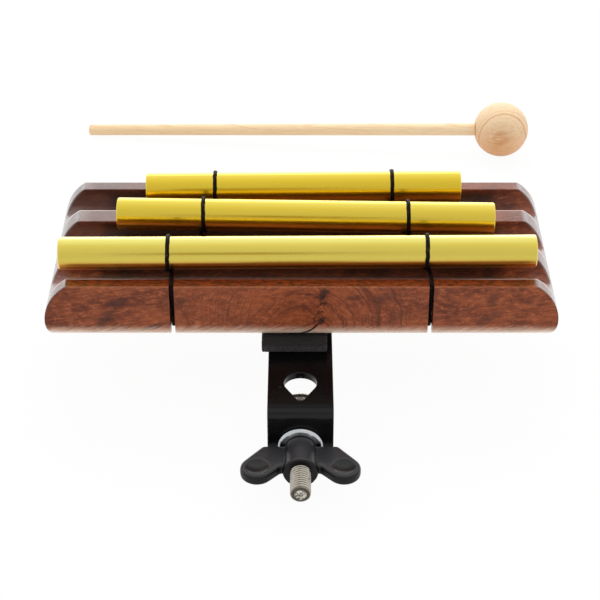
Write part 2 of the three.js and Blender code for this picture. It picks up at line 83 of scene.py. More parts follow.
# Rods and the cords that carry them
ROD_ROUND = 0.7
NODE_SHARES = {"long": 0.229, "middle": 0.229, "short": 0.219}
CORD_WIDTH = 1.6
CORD_HEIGHT = 1.25
WRAP_WIDTH = 1.6
WRAP_HEIGHT = 0.9
CORD_SIDES = 16
CORD_STEP = 0.45
WRAP_DRIFT = 0.95
CORD_AIR = 0.05
WRAP_AIR = 0.04
CORD_SWAY = 0.12
CORD_LUMP = 0.26
BRAID_STRANDS = 6
BRAID_PITCH = 1.1
RETURN_SHARE = 0.25
KERF_WIDTH = 1.9
KERF_DEPTH_TOP = 1.9
KERF_DEPTH_BOTTOM = 7.5
KERF_SLACK = 0.15
HOLE_DIAMETER = 2.6
GROOVE_WIDTH = 3.0
GROOVE_DEPTH = 2.0
POCKET_DIAMETER = 6.0
POCKET_DEPTH = 4.0
KNOT_DIAMETER = 4.4
KNOT_HEIGHT = 2.6

# Bracket, pad and screws
STRAP_THICKNESS = 3.0
BEND_RADIUS = 4.0
STRAP_CORNER = 4.0
VEE_RADIUS = 6.4
VEE_HALF_ANGLE = 30.0
VEE_APEX_RADIUS = 0.9
BOLT_HOLE_DIAMETER = 8.8
SCREW_DIAMETER = 3.6
SCREW_PITCH = 1.3
SCREW_HEAD_HEIGHT = 2.6
SCREW_CLEARANCE = 0.4
SCREW_HOLE = SCREW_DIAMETER + 2 * SCREW_CLEARANCE
RECESS_REACH = 1.9
RECESS_HALF_WIDTH = 0.35
RECESS_DEPTH = 1.2
PAD_SHRINK = 0.25
PAD_ROUND = 0.5
PAD_CELL = 0.32
PAD_GRAIN = 0.16

# Eye bolt and wing nut
BOLT_RADIUS = 3.95
THREAD_PITCH = 1.25
THREAD_DEPTH = 0.65
TIP_CHAMFER = 0.9
EYE_HOLE_RADIUS = 5.0
EYE_BAR_WIDTH = 6.3
EYE_BAR_HEIGHT = 7.8
EYE_NECK = 3.0
WASHER_SLACK = 0.3
NUT_BORE_RADIUS = 4.15
NUT_REAR_RADIUS = 6.2
NUT_FRONT_RADIUS = 6.8
NUT_LENGTH = 14.4
NUT_CELL = 0.22
WING_THICKNESS = 4.6
WING_ROUND = 1.4
LOBE_RADIUS = 6.4
LOBE_OUT = 16.4
LOBE_FORWARD = 12.8
WING_SHOULDER = 15.5
WING_SHOULDER_ROUND = 2.0
WING_ROOT_OUT = 7.4
WING_ROOT_FORWARD = 12.7
DIMPLE_RADIUS = 4.6
DIMPLE_DEPTH = 1.1
SEAT_GAP = 0.3

# Mallet
NECK_FLAT = 3.8
SHAFT_SOCKET = 15.0
SHAFT_TIP_ROUND = 0.9
SHAFT_UNEVEN = 0.035
MALLET_TURN = 5.2

# Wood figure, by X and Z on the front face: the knot, the heart of the growth rings below
# it, and the dark patches, each with half its length and width, its slope in degrees and
# its strength, and by X and Y a dark patch at the back
KNOT = (8.4, 20.2)
HEART = (-1.0, -3.0)
BACK_PATCH = (84.0, 64.0)
WOOD_SHADOWS = [
    ((-72.0, 16.5), 5.5, 2.6, 15, 0.7),
    ((-78.0, 8.0), 7.5, 2.6, 50, 0.6),
    ((-60.0, 4.5), 8.0, 1.2, 22, 0.7),
    ((-47.0, 17.5), 4.0, 1.8, 12, 0.45),
    ((20.5, 18.5), 4.0, 1.6, 10, 0.5),
    ((33.0, 19.0), 6.0, 2.4, 15, 0.4),
    ((37.0, 9.0), 6.0, 3.0, 60, 0.35),
    ((75.0, 18.0), 4.5, 2.5, 70, 0.5),
    ((73.0, 8.5), 8.0, 2.6, 35, 0.5),
    ((88.0, 17.5), 3.5, 1.4, 10, 0.4),
    ((2.0, 5.5), 11.0, 0.9, 28, 0.5),
    ((7.9, 7.6), 2.4, 1.4, 60, 0.95),
]

# Camera, from the photograph: where it stands from the base, its tilt and its lens
CAMERA_PLACE = (-0.58, -563.2, 400.5)
CAMERA_TILT = 34.2
CAMERA_LENS = 104.34

# A dark card by the camera, from the origin, which the rods reflect as a thin streak
CARD_PLACE = (-39.0, -560.0, 330.0)
CARD_SIZE = (126.0, 190.0)

# The floor, in metres, and the corners of a square
FLOOR_HALF = 8.0
FLOOR_DROP = 0.0003
SQUARE = ((-1, -1), (1, -1), (1, 1), (-1, 1))

# How far a cutter runs past the faces that it opens
SPILL = 1.0


def box_mm(node):
    """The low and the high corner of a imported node, in millimetres."""
    return [np.array(corner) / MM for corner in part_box(node)]


base_low, base_high = box_mm("wood_base")
BASE_ORIGIN = np.array([(base_low[0] + base_high[0]) / 2, base_low[1], base_low[2]])
BASE_HALF_LENGTH = (base_high[0] - base_low[0]) / 2
BASE_DEPTH = base_high[1] - base_low[1]
BASE_HEIGHT = base_high[2] - base_low[2]
COVE_RADIUS = ((COVE_WIDTH / 2) ** 2 + COVE_DEPTH**2) / (2 * COVE_DEPTH)
COVE_PITCH = INNER_RIDGE + COVE_WIDTH
FIRST_COVE = OUTER_RIDGE + COVE_WIDTH / 2
FIRST_HOLE = OUTER_RIDGE + COVE_WIDTH + INNER_RIDGE / 2
CLAMP_ORIGIN = np.zeros(3)


# Points, outlines and meshes


def node_points(node):
    """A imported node's own points at rest, in millimetres, each once."""
    points = [v.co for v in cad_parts[node].data.vertices]
    return np.unique(np.round(np.array(points, float) / MM, 4), axis=0)


def turned_axis(node):
    """The two ends of a long turned node's axis, left end first, in millimetres."""
    points = node_points(node)
    middle = points.mean(axis=0)
    line = np.linalg.svd(points - middle, full_matrices=False)[2][0]
    line *= np.sign(line[0])
    along = (points - middle) @ line
    return middle + along.min() * line, middle + along.max() * line


def arc(x, y, radius, start, end, steps):
    """Points on an arc from one angle to another, in radians, both ends included."""
    angles = np.linspace(start, end, steps + 1)
    return [(x + radius * cos(a), y + radius * sin(a)) for a in angles]


def linked(name, data):
    obj = bpy.data.objects.new(name, data)
    bpy.context.scene.collection.objects.link(obj)
    return obj


def mesh_object(name, points, faces):
    mesh = bpy.data.meshes.new(name)
    mesh.from_pydata([tuple(map(float, p)) for p in points], [], faces)
    return linked(name, mesh)


def face_outward(obj):
    shape = bmesh.new()
    shape.from_mesh(obj.data)
    bmesh.ops.recalc_face_normals(shape, faces=shape.faces)
    shape.to_mesh(obj.data)
    shape.free()


def prism(name, outline, axis, start, end):
    """A solid with this outline, drawn across an axis, from start to end along it."""
    count = len(outline)
    order = {"x": (2, 0, 1), "y": (0, 2, 1), "z": (0, 1, 2)}[axis]
    points = [tuple((u, v, w)[k] for k in order) for w in (start, end) for u, v in outline]
    faces = [list(range(count)), list(range(count, 2 * count))]
    for i in range(count):
        after = (i + 1) % count
        faces.append([i, after, count + after, count + i])
    obj = mesh_object(name, points, faces)
    face_outward(obj)
    return obj


def drum(length, radius):
    """The rings of a plain cylinder."""
    return [(0, 0), (0, radius), (length, radius), (length, 0)]


def revolve(name, rings, start, line, sides=96, closed=False):
    """A solid of rings about a line, each a distance along it and a radius."""
    line = np.array(line, float) / norm(line)
    first = np.cross(line, (0.0, 0.0, 1.0) if abs(line[2]) < 0.9 else (1.0, 0.0, 0.0))
    first /= norm(first)
    second = np.cross(line, first)
    angles = np.arange(sides) * 2 * pi / sides
    points, loops = [], []
    for along, radius in rings:
        centre = np.array(start, float) + line * along
        if radius < 1e-9:
            loops.append([len(points)] * sides)
            points.append(centre)
            continue
        loops.append(list(range(len(points), len(points) + sides)))
        for angle in angles:
            points.append(centre + radius * (cos(angle) * first + sin(angle) * second))
    faces = []
    pairs = list(zip(loops, loops[1:]))
    if closed:
        pairs.append((loops[-1], loops[0]))
    for low, high in pairs:
        for j in range(sides):
            after = (j + 1) % sides
            corners = dict.fromkeys([low[j], low[after], high[after], high[j]])
            if len(corners) > 2:
                faces.append(list(corners))
    obj = mesh_object(name, points, faces)
    if closed:
        face_outward(obj)
    return obj


def pin(name, x, y, diameter, bottom, top):
    return revolve(name, drum(top - bottom, diameter / 2), (x, y, bottom), (0, 0, 1), 32)


def block(name, low, high):
    outline = [(low[0], low[1]), (high[0], low[1]), (high[0], high[1]), (low[0], high[1])]
    return prism(name, outline, "z", low[2], high[2])


def apply_modifiers(obj):
    graph = bpy.context.evaluated_depsgraph_get()
    mesh = bpy.data.meshes.new_from_object(obj.evaluated_get(graph))
    obj.modifiers.clear()
    obj.data = mesh


def combine(obj, others, operation="DIFFERENCE"):
    """Cuts the others from a piece, joins them to it, or keeps what they share."""
    for other in others:
        modifier = obj.modifiers.new(operation.lower(), "BOOLEAN")
        modifier.operation = operation
        modifier.solver = "MANIFOLD"
        modifier.object = other
    apply_modifiers(obj)
    for other in others:
        bpy.data.objects.remove(other)


def round_edges(obj, width, segments=3, angle=25):
    modifier = obj.modifiers.new("round", "BEVEL")
    modifier.width = width
    modifier.segments = segments
    modifier.limit_method = "ANGLE"
    modifier.angle_limit = radians(angle)
    modifier.use_clamp_overlap = False
    apply_modifiers(obj)


def even_normals(obj):
    """Normals weighted by area, so that flats stay flat and narrow rounds carry the turn."""
    mesh = obj.data
    limit = cos(radians(EVEN_ANGLE))
    normals = [face.normal.copy() for face in mesh.polygons]
    around = [[] for _ in mesh.vertices]
    for face in mesh.polygons:
        for vertex in face.vertices:
            around[vertex].append(face.index)
    corners = []
    for face in mesh.polygons:
        own = normals[face.index]
        for vertex in face.vertices:
            total = Vector()
            for other in around[vertex]:
                if normals[other].dot(own) > limit:
                    total += normals[other] * mesh.polygons[other].area
            corners.append(total.normalized())
    mesh.normals_split_custom_set(corners)


def settle(obj, origin, material, body, nodes, smooth=32):
    """Brings a piece drawn in millimetres into the frame, and gives it its finish and body."""
    obj.data.transform(Matrix.Scale(MM, 4) @ Matrix.Translation(Vector(origin)))
    obj.data.materials.clear()
    obj.data.materials.append(material)
    obj.data.shade_smooth()
    obj.data.set_sharp_from_angle(angle=radians(smooth))
    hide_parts(*nodes)
    if body:
        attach(obj, body)
    return obj


# Finishes


class Nodes:
    """A tree of shader nodes, and short names for making them."""

    def __init__(self, tree):
        self.tree = tree

    def feed(self, socket, value):
        """Links a socket, or sets it. Three numbers are a colour as a picture shows it."""
        if isinstance(value, bpy.types.NodeSocket):
            self.tree.links.new(value, socket)
        elif socket.type == "RGBA" and len(value) == 3:
            socket.default_value = rgb(*value)
        else:
            socket.default_value = value

    def node(self, kind, inputs=(), **settings):
        """The outputs of a new node, its inputs given by name or by number."""
        made = self.tree.nodes.new("ShaderNode" + kind)
        for key, value in settings.items():
            setattr(made, key, value)
        for key, value in dict(inputs).items():
            self.feed(made.inputs[key], value)
        return made.outputs

    def math(self, operation, *values):
        return self.node("Math", enumerate(values), operation=operation)[0]

    def add(self, first, *others):
        for other in others:
            first = self.math("ADD", first, other)
        return first

    def times(self, first, *others):
        for other in others:
            first = self.math("MULTIPLY", first, other)
        return first

    def less(self, a, b):
        return self.math("SUBTRACT", a, b)

    def size(self, value):
        return self.math("ABSOLUTE", value)

    def vector(self, operation, *values):
        return self.node("VectorMath", enumerate(values), operation=operation)[0]

    def point(self, *values):
        return self.node("CombineXYZ", enumerate(values))[0]

    def length(self, *values):
        """How far a point lies from the origin."""
        inputs = {0: self.point(*values)}
        return self.node("VectorMath", inputs, operation="LENGTH")["Value"]

    def parts(self, vector):
        return tuple(self.node("SeparateXYZ", {0: vector}))

    def turned(self, vector, turn):
        return self.node("Mapping", {"Vector": vector, "Rotation": turn})[0]

    def place(self, origin=(0.0, 0.0, 0.0)):
        """The point on the piece in millimetres, counted from an origin."""
        raw = self.node("TexCoord")["Object"]
        large = self.vector("MULTIPLY", raw, (1 / MM,) * 3)
        return self.vector("SUBTRACT", large, tuple(map(float, origin)))

    def facing(self):
        """How far the surface faces up, from -1 to 1."""
        return self.parts(self.node("NewGeometry")["Normal"])[2]

    def noise(self, vector, scale, detail=3.0, roughness=0.5):
        """Noise of about unit size when scale is one per millimetre, or one for each axis."""
        scale = scale if isinstance(scale, tuple) else (scale,) * 3
        stretched = self.vector("MULTIPLY", vector, scale)
        inputs = {"Vector": stretched, "Scale": 1.0, "Detail": detail, "Roughness": roughness}
        return self.node("TexNoise", inputs)[0]

    def span(self, value, low, high, to_low=0.0, to_high=1.0):
        inputs = enumerate((value, low, high, to_low, to_high))
        return self.node("MapRange", inputs, interpolation_type="SMOOTHSTEP")[0]

    def mix(self, share, a, b):
        return self.node("Mix", {0: share, 6: a, 7: b}, data_type="RGBA")[2]


class Finish(Nodes):
    """A procedural material, its tone laid on in layers."""

    def __init__(self, name, **sockets):
        self.material = bpy.data.materials.new(name)
        self.material.use_nodes = True
        super().__init__(self.material.node_tree)
        self.shader = self.tree.nodes["Principled BSDF"]
        self.use(**sockets)

    def use(self, **sockets):
        for name, value in sockets.items():
            self.feed(self.shader.inputs[name.replace("_", " ")], value)

    def shade(self, mask, strength, tone):
        """Lays a tone over the last one where a mask is high."""
        share = mask if strength == 1 else self.times(mask, strength)
        self.tone = self.mix(share, self.tone, tone)

    def bump(self, height, depth, strength=1.0):
        """Surface relief, its depth in millimetres."""
        inputs = {"Height": height, "Distance": depth * MM, "Strength": strength}
        self.use(Normal=self.node("Bump", inputs)[0])

    def done(self, roughness):
        self.use(Base_Color=self.tone, Roughness=roughness)
        return self.material


def rgb(red, green, blue):
    """A colour as a picture shows it, 0 to 255, as the shader's light values."""
    shares = (c / 255 for c in (red, green, blue))
    return (*(((c + 0.055) / 1.055) ** 2.4 if c > 0.04 else c / 12.92 for c in shares), 1.0)


def hardwood_finish():
    wood = Finish("hardwood", Specular_IOR_Level=0.2, Coat_Roughness=0.2)
    add, less, times, span, shade = wood.add, wood.less, wood.times, wood.span, wood.shade
    place = wood.place(BASE_ORIGIN)
    across, inward, up = wood.parts(place)

    def slanted(angle, centre=KNOT):
        moved = wood.vector("SUBTRACT", place, (centre[0], 0.0, centre[1]))
        return wood.turned(moved, (0.0, radians(angle), 0.0))

    def patch(along, aside, length, width, ragged):
        """A ragged oval about a point."""
        reach = wood.length(wood.math("DIVIDE", along, length), wood.math("DIVIDE", aside, width))
        return span(add(reach, times(blur, ragged)), 1.25, 0.35)

    def spot(centre, length, width, angle, ragged=0.5):
        """A patch on the front face, on a slope."""
        along, _, aside = wood.parts(slanted(angle, centre))
        return patch(along, aside, length, width, ragged)

    blur = less(wood.noise(place, 0.4, 3.0, 0.6), 0.5)
    clouds = wood.noise(place, (0.045, 0.12, 0.1), 4.0, 0.6)
    mottle = wood.noise(place, (0.3, 0.9, 0.5), 5.0, 0.75)
    specks = wood.noise(slanted(24), (0.9, 2.6, 2.2), 3.0, 0.7)
    from_end = less(BASE_HALF_LENGTH, wood.size(across))
    from_side = wood.math("MINIMUM", inward, less(BASE_DEPTH, inward))
    depth = less(BASE_HEIGHT, up)
    end_reach = wood.length(less(END_RADIUS, from_end), less(up, WIDEST_HEIGHT))
    on_end = span(end_reach, END_RADIUS - 0.8, END_RADIUS - 0.2)

    # Growth rings about the heart, and fibres that follow them, or lie level elsewhere
    heart_x, heart_z = less(across, HEART[0]), times(less(up, HEART[1]), 0.8)
    distance = wood.length(heart_x, heart_z)
    bent = add(distance, times(wood.noise(place, (0.07, 0.1, 0.1)), 8.0))
    round_it = times(wood.math("ARCTAN2", heart_z, heart_x), distance)
    curl = wood.point(bent, round_it, inward)
    near = times(span(distance, 58, 34), span(inward, 3.0, 1.0))
    wave = wood.noise(curl, (0.5, 0.01, 0.05), 2.0, 0.6)
    rings = times(span(wave, 0.52, 0.62), span(distance, 8, 14), near)
    curled = wood.noise(curl, (1.3, 0.14, 0.9), 4.0, 0.7)
    level = wood.noise(slanted(9), (0.1, 1.6, 1.7), 4.0, 0.65)
    fibre = wood.mix(near, level, curled)

    wood.tone = wood.mix(span(clouds, 0.38, 0.6), (108, 53, 34), (144, 75, 45))
    shade(near, 0.3, (160, 84, 50))
    shade(span(mottle, 0.48, 0.66), 0.75, (176, 98, 62))
    shade(span(mottle, 0.46, 0.34), 0.6, (84, 42, 32))
    shade(span(fibre, 0.5, 0.66), 0.6, (82, 39, 28))
    shade(span(fibre, 0.44, 0.32), 0.5, (172, 96, 60))
    shade(times(rings, span(across, -14, 2, 0.4, 1.0)), 0.6, (84, 40, 28))
    shade(span(specks, 0.56, 0.68), 0.6, (62, 30, 24))
    for *shape, strength in WOOD_SHADOWS:
        shade(spot(*shape), strength, (58, 36, 32))

    # The knot with its trail of cracks, and the split that leaves it for the lower edge
    shallow = span(inward, 6.0, 1.5)
    shade(times(spot(KNOT, 3.6, 2.2, 70, 1.8), shallow), 0.85, (48, 32, 32))
    trail = spot((KNOT[0] - 1.4, KNOT[1] - 7.5), 9.0, 2.0, 72, 1.0)
    crumbs = wood.noise(slanted(64), (0.45, 1.0, 1.3), 3.0, 0.7)
    shade(times(span(crumbs, 0.48, 0.57), trail, shallow), 0.92, (30, 17, 17))
    run = add(across, 3.5)
    curve = add(times(run, run, 0.055), times(blur, 0.8))
    off = wood.size(less(less(up, 0.6), curve))
    split = times(span(off, 0.95, 0.3), span(run, -2.5, 0.5), span(run, 11.5, 9.0), shallow)

    # Painted shade, darker towards the back, most at the left end, and darkest inside the coves
    left = span(across, -20.0, -90.0, 0.35, 0.85)
    shade(times(span(inward, 8.0, 60.0), left), 1, (70, 40, 33))
    inner = times(span(from_side, 5.9, 6.7), span(up, 8.0, 12.0))
    shade(times(inner, span(depth, 0.2, 1.6), span(from_end, 17.0, 23.0)), 0.7, (30, 15, 11))
    # A dark patch at the back, near the right end
    back_patch = patch(less(across, BACK_PATCH[0]), less(inward, BACK_PATCH[1]), 9.0, 6.0, 1.6)
    shade(back_patch, 0.75, (34, 22, 22))

    # Warm painted shadow of the long rod on the front ridge, and grey painted shade on the end
    # slopes
    rod_shadow = times(span(inward, 7.0, 5.5), span(depth, 0.5, 0.1), span(inward, 0.2, 0.6), 0.8)
    streak = wood.noise(slanted(20), (0.1, 0.9, 1.0), 4.0, 0.7)
    shade(rod_shadow, 1, wood.mix(span(streak, 0.4, 0.6), (52, 16, 5), (128, 50, 17)))
    shade(times(on_end, span(from_end, 20, 13)), 0.5, (60, 42, 38))

    # Paler with painted light: a highlight along the front top edge, light from below on the
    # rounded lower edge, and a highlight along the far edge of each ridge
    shade(span(add(inward, depth), 0.9, 0.3), 0.1, (196, 136, 100))
    # Painted light from below, ragged, on the rounded lower edge
    lit_from_below = wood.noise(slanted(26), (0.13, 0.8, 1.4), 4.0, 0.7)
    lit_from_below = add(up, times(less(lit_from_below, 0.5), 5.0))
    rim = span(wood.math("MINIMUM", from_side, from_end), 5.4, 3.4)
    shade(times(span(lit_from_below, 6.2, 0.6), rim), 0.84, (246, 220, 198))
    shade(split, 0.94, (20, 11, 11))
    # Painted highlight along the far edge of each ridge
    half = COVE_PITCH / 2
    nearest = wood.math("MODULO", add(inward, half - OUTER_RIDGE + 0.25), COVE_PITCH)
    arris_highlight = times(span(wood.size(less(nearest, half)), 0.5, 0.2), span(up, 6.0, 8.0))
    shade(times(arris_highlight, span(from_end, 50, 20, 0.08, 0.6)), 1, (240, 228, 222))

    # A coat with a sheen on the tops of the ridges and on the end slopes
    facing = wood.facing()
    slope = times(on_end, span(from_end, 20, 16), span(facing, 0.05, 0.3))
    under = times(rod_shadow, span(from_end, 22, 30))
    veil = times(span(facing, 0.7, 0.95), span(across, -100, 100, 1.2, 0.42))
    veil = times(veil, span(depth, 1.2, 0.4, 0.4, 1.0), span(under, 0, 0.8, 1, 0.3))
    grain = wood.noise(place, (0.9, 2.4, 2.4), 3.0, 0.7)
    veil = times(wood.math("MAXIMUM", veil, slope), span(grain, 0.36, 0.6, 0.6, 1.1))
    veil = add(veil, span(facing, -0.1, -0.4))
    wood.use(Coat_Weight=veil, Coat_IOR=span(from_end, 16, 4, 1.5, 2.3))
    wood.bump(add(times(fibre, 0.6), specks), 0.04, 0.5)
    return wood.done(span(fibre, 0.3, 0.7, 0.26, 0.4))


def gold_finish():
    """Gold, deeper on the rods at the back, with a painted highlight on top, and underneath
    a painted orange reflection of the wood and a softer finish.
    """
    gold = Finish("gold_anodised", Metallic=1.0, Coat_IOR=1.75, Coat_Roughness=0.16)
    place, facing, span = gold.place(), gold.facing(), gold.span
    front, back = (box_mm(f"chime_rod_{name}")[0][1] for name in ("long", "short"))
    behind = span(gold.parts(place)[1], front, back)
    drawn = gold.noise(place, (0.015, 3.5, 3.5), 3.0, 0.6)
    haze = gold.noise(place, (0.05, 0.2, 0.2))
    gold.tone = gold.mix(haze, (230, 208, 70), (236, 214, 80))
    gold.shade(behind, 1, (234, 202, 44))
    # Painted highlight, paler on top, less on the rods at the back
    top = gold.times(span(facing, 0.84, 1.0), span(behind, 0, 1, 0.6, 0.15))
    gold.shade(top, 1, (236, 232, 128))
    # Painted reflection of the wood, orange, underneath
    gold.shade(span(facing, 0.2, -0.3), 0.8, (255, 184, 56))
    gold.use(Coat_Weight=span(behind, 0, 1, 0.75, 0.35))
    gold.bump(drawn, 0.006, 0.4)
    rough = span(drawn, 0.3, 0.7, 0.2, 0.27)
    return gold.done(gold.add(rough, span(facing, 0.5, 0.0, 0.0, 0.08)))


def cord_finish():
    cord = Finish("elastic_cord", Specular_IOR_Level=0.12)
    around, along, _ = cord.parts(cord.node("UVMap", uv_map="braid")[0])
    turns = cord.times(around, 2 * pi * BRAID_STRANDS)
    steps = cord.times(along, 2 * pi / BRAID_PITCH)
    one, two = (cord.math("SINE", way(turns, steps)) for way in (cord.add, cord.less))
    yarn = cord.math("MAXIMUM", one, two)
    fleck = cord.noise(cord.place(), 1.7, 2.0)
    cord.tone = cord.mix(cord.span(yarn, 0.2, 1.0), (6, 3, 4), (20, 13, 14))
    # Painted glints: pale pinkish flecks on the braid
    cord.shade(cord.span(fleck, 0.62, 0.72), 0.6, (112, 92, 94))
    cord.bump(yarn, 0.09)
    return cord.done(0.5)


def foam_finish():
    foam = Finish("foam")
    place = foam.place()
    top = box_mm("bracket_pad")[1][2]
    cells = foam.noise(place, 1.6, 4.0, 0.75)
    foam.tone = foam.mix(foam.span(cells, 0.38, 0.66), (20, 18, 19), (74, 68, 70))
    # Painted shadow of the base, darker along the pad's top
    foam.shade(foam.span(foam.parts(place)[2], top - 2.4, top - 0.3), 0.75, (16, 13, 13))
    foam.bump(cells, 0.35)
    return foam.done(0.9)


def coat_finish(name, roughness, peel, wear, painted_top_light, top_sheen, dishes=None):
    """A black coat, worn along its edges, with the light and shade on top painted in as a tone of
    its own, and a sheen of its own on top.

    The dishes are given by how far out and how far forward they lie; the painted light stays
    out of them.
    """
    coat = Finish(name)
    place, facing, span = coat.place(), coat.facing(), coat.span
    clouds = coat.noise(place, 0.12)
    chips = coat.noise(place, 0.8, 4.0, 0.7)
    edge = coat.node("NewGeometry")["Pointiness"]
    worn = coat.times(span(edge, 0.54, 0.6), span(chips, 0.5, 0.62))
    top_light_mask = span(facing, 0.4, 0.95)
    if dishes:
        x, y, _ = coat.parts(place)
        reach = coat.length(coat.less(coat.size(x), dishes[0]), coat.less(y, dishes[1]))
        rim = span(reach, DIMPLE_RADIUS - 0.8, DIMPLE_RADIUS + 0.2, 0.2, 1.0)
        top_light_mask = coat.times(top_light_mask, rim)
    coat.tone = coat.mix(clouds, (7, 6, 7), (12, 10, 11))
    # Painted light and shade on the faces that look up
    coat.shade(top_light_mask, 1, painted_top_light)
    coat.shade(worn, wear, (150, 146, 144))
    coat.use(Specular_IOR_Level=span(facing, 0.8, 0.98, 0.34, top_sheen))
    coat.bump(coat.noise(place, 1.6, 2.0), peel, 0.5)
    return coat.done(span(clouds, 0.3, 0.7, roughness - 0.04, roughness + 0.05))


def nickel_finish():
    """Nickel, stained, with painted shade in the thread, and the bolt's end dented, with a painted
    dull ring of reflection and painted glints.
    """
    nickel = Finish("bare_steel", Metallic=1.0)
    place, span, times, shade = nickel.place(), nickel.span, nickel.times, nickel.shade
    tip = box_mm("eye_bolt")[0][1]
    x, y, z = nickel.parts(place)
    reach = nickel.length(x, z)
    face = span(y, tip + 0.6, tip + 0.3)
    stain = nickel.noise(place, 0.7, 4.0, 0.6)
    fine = nickel.noise(place, 2.0, 3.0, 0.6)
    glint_noise = nickel.noise(place, 0.8, 3.0, 0.6)
    nickel.tone = nickel.mix(stain, (188, 180, 164), (232, 226, 214))
    # Painted shade in the thread
    shade(span(reach, 3.85, 3.4), 0.8, (92, 83, 72))
    shade(span(stain, 0.58, 0.7), 0.6, (100, 88, 76))
    # Painted reflection, a dull ring on the bolt's end
    shade(times(face, span(reach, 1.8, 2.6, 0.3, 0.75)), 1, (82, 76, 66))
    # Painted glints on the bolt's end
    shade(times(face, span(reach, 2.5, 2.0), span(glint_noise, 0.42, 0.56)), 1, (244, 240, 230))
    dents = times(nickel.noise(place, 0.9, 2.0), face, 14.0)
    nickel.bump(nickel.add(fine, dents), 0.03, 0.6)
    return nickel.done(span(fine, 0.3, 0.7, 0.16, 0.32))


def zinc_finish():
    zinc = Finish("bright_zinc", Metallic=1.0)
    haze = zinc.noise(zinc.place(), 0.5)
    zinc.tone = zinc.mix(haze, (196, 200, 204), (218, 222, 226))
    return zinc.done(zinc.span(haze, 0.3, 0.7, 0.1, 0.16))


def beech_finish(beech, place, rings, pale, deep, dark):
    """Pale wood with painted shade low down, with its own rings, and short dark streaks and
    flecks.
    """
    fibre = beech.noise(place, (0.07, 1.3, 1.3), 4.0, 0.65)
    fleck = beech.noise(place, (0.3, 3.2, 3.2), 2.0)
    # Painted shade: the tone runs from the lit one high up to the shaded one low down
    beech.tone = beech.mix(beech.span(beech.parts(place)[2], -11.0, 11.0), deep, pale)
    beech.shade(rings, 1, dark)
    beech.shade(beech.span(fibre, 0.48, 0.72), 0.4, dark)
    beech.shade(beech.span(fleck, 0.6, 0.74), 0.4, dark)
    beech.use(Specular_IOR_Level=0.3)
    beech.bump(fibre, 0.03, 0.5)
    return beech.done(0.5)


def ball_finish(middle):
    """Two thin growth rings over the front, and a brown patch of streaks low inside."""
    beech = Finish("beech_ball")
    add, less, times, span = beech.add, beech.less, beech.times, beech.span
    place = beech.place(middle)
    x, y, z = beech.parts(place)
    aside = less(x, times(y, 0.15))
    level = add(times(add(z, 6.0), 0.83), times(y, 0.5))
    wander = less(beech.noise(place, 0.15, 1.0), 0.5)
    rim = add(beech.length(add(aside, 1.5), level), wander)
    rings = times(span(beech.length(y, z), 4.0, 3.4), span(x, -11.5, -12.2))
    for radius, width, strength in ((11.8, 0.6, 0.5), (13.6, 0.4, 0.2)):
        off = beech.size(less(rim, radius))
        rings = add(span(off, width, 0.1, 0.0, strength), rings)
    streaks = beech.noise(place, (0.16, 0.5, 0.9), 4.0, 0.7)
    patch = span(beech.length(add(aside, 3.0), add(level, 1.5)), 11.0, 1.0)
    patch = times(patch, span(streaks, 0.36, 0.62, 0.15, 0.75))
    rings = beech.math("MINIMUM", add(rings, patch), 1.0)
    # The lit tone, the tone of the painted shade low down, and the dark tone of the figure
    tones = (226, 199, 162), (221, 170, 124), (190, 128, 76)
    return beech_finish(beech, place, rings, *tones)


def shaft_finish(middle):
    beech = Finish("beech_shaft")
    turn = (0.0, 0.0, radians(MALLET_TURN))
    place = beech.turned(beech.place(middle), turn)
    x, _, z = beech.parts(place)
    wander = beech.noise(place, (0.02, 0.3, 0.3))
    level = beech.add(beech.times(z, 0.45), wander, beech.times(x, 0.004))
    near = beech.less(beech.math("FRACT", level), 0.5)
    rings = beech.span(beech.size(near), 0.4, 0.5, 0.0, 0.4)
    # The lit tone, the tone of the painted shade low down, and the dark tone of the figure
    tones = (240, 217, 180), (230, 200, 158), (204, 158, 110)
    return beech_finish(beech, place, rings, *tones)


# The base


def base_section():
    """The grooved section across the base, its Y and Z, from the lower front round."""
    points = arc(BOTTOM_ROUND, BOTTOM_ROUND, BOTTOM_ROUND, -2 * QUARTER, -QUARTER, 10)
    back = BASE_DEPTH - BOTTOM_ROUND
    points += arc(back, BOTTOM_ROUND, BOTTOM_ROUND, -QUARTER, 0, 10)
    points.append((BASE_DEPTH, BASE_HEIGHT))
    centre = BASE_HEIGHT - COVE_DEPTH + COVE_RADIUS
    lip = asin((BASE_HEIGHT - centre) / COVE_RADIUS)
    for i in (2, 1, 0):
        y = FIRST_COVE + i * COVE_PITCH
        points += arc(y, centre, COVE_RADIUS, lip, -pi - lip, 28)
    points.append((0.0, BASE_HEIGHT))
    return points


def base_outline():
    """The outline along the base, its X and Z, with both ends rounded over."""
    top = asin((BASE_HEIGHT - WIDEST_HEIGHT) / END_RADIUS)
    toe_x, slope_x = BASE_HALF_LENGTH - END_TOE, BASE_HALF_LENGTH - END_RADIUS
    right = []
    for angle in np.linspace(-QUARTER, 0, 13):
        right.append((toe_x + END_TOE * cos(angle), WIDEST_HEIGHT * (1 + sin(angle))))
    right += arc(slope_x, WIDEST_HEIGHT, END_RADIUS, 0, top, 18)[1:]
    return right + [(-x, z) for x, z in reversed(right)]


def kerf_floor(z):
    """How far in from the base's face a sloped kerf reaches at a height."""
    return KERF_DEPTH_BOTTOM + (KERF_DEPTH_TOP - KERF_DEPTH_BOTTOM) * z / BASE_HEIGHT


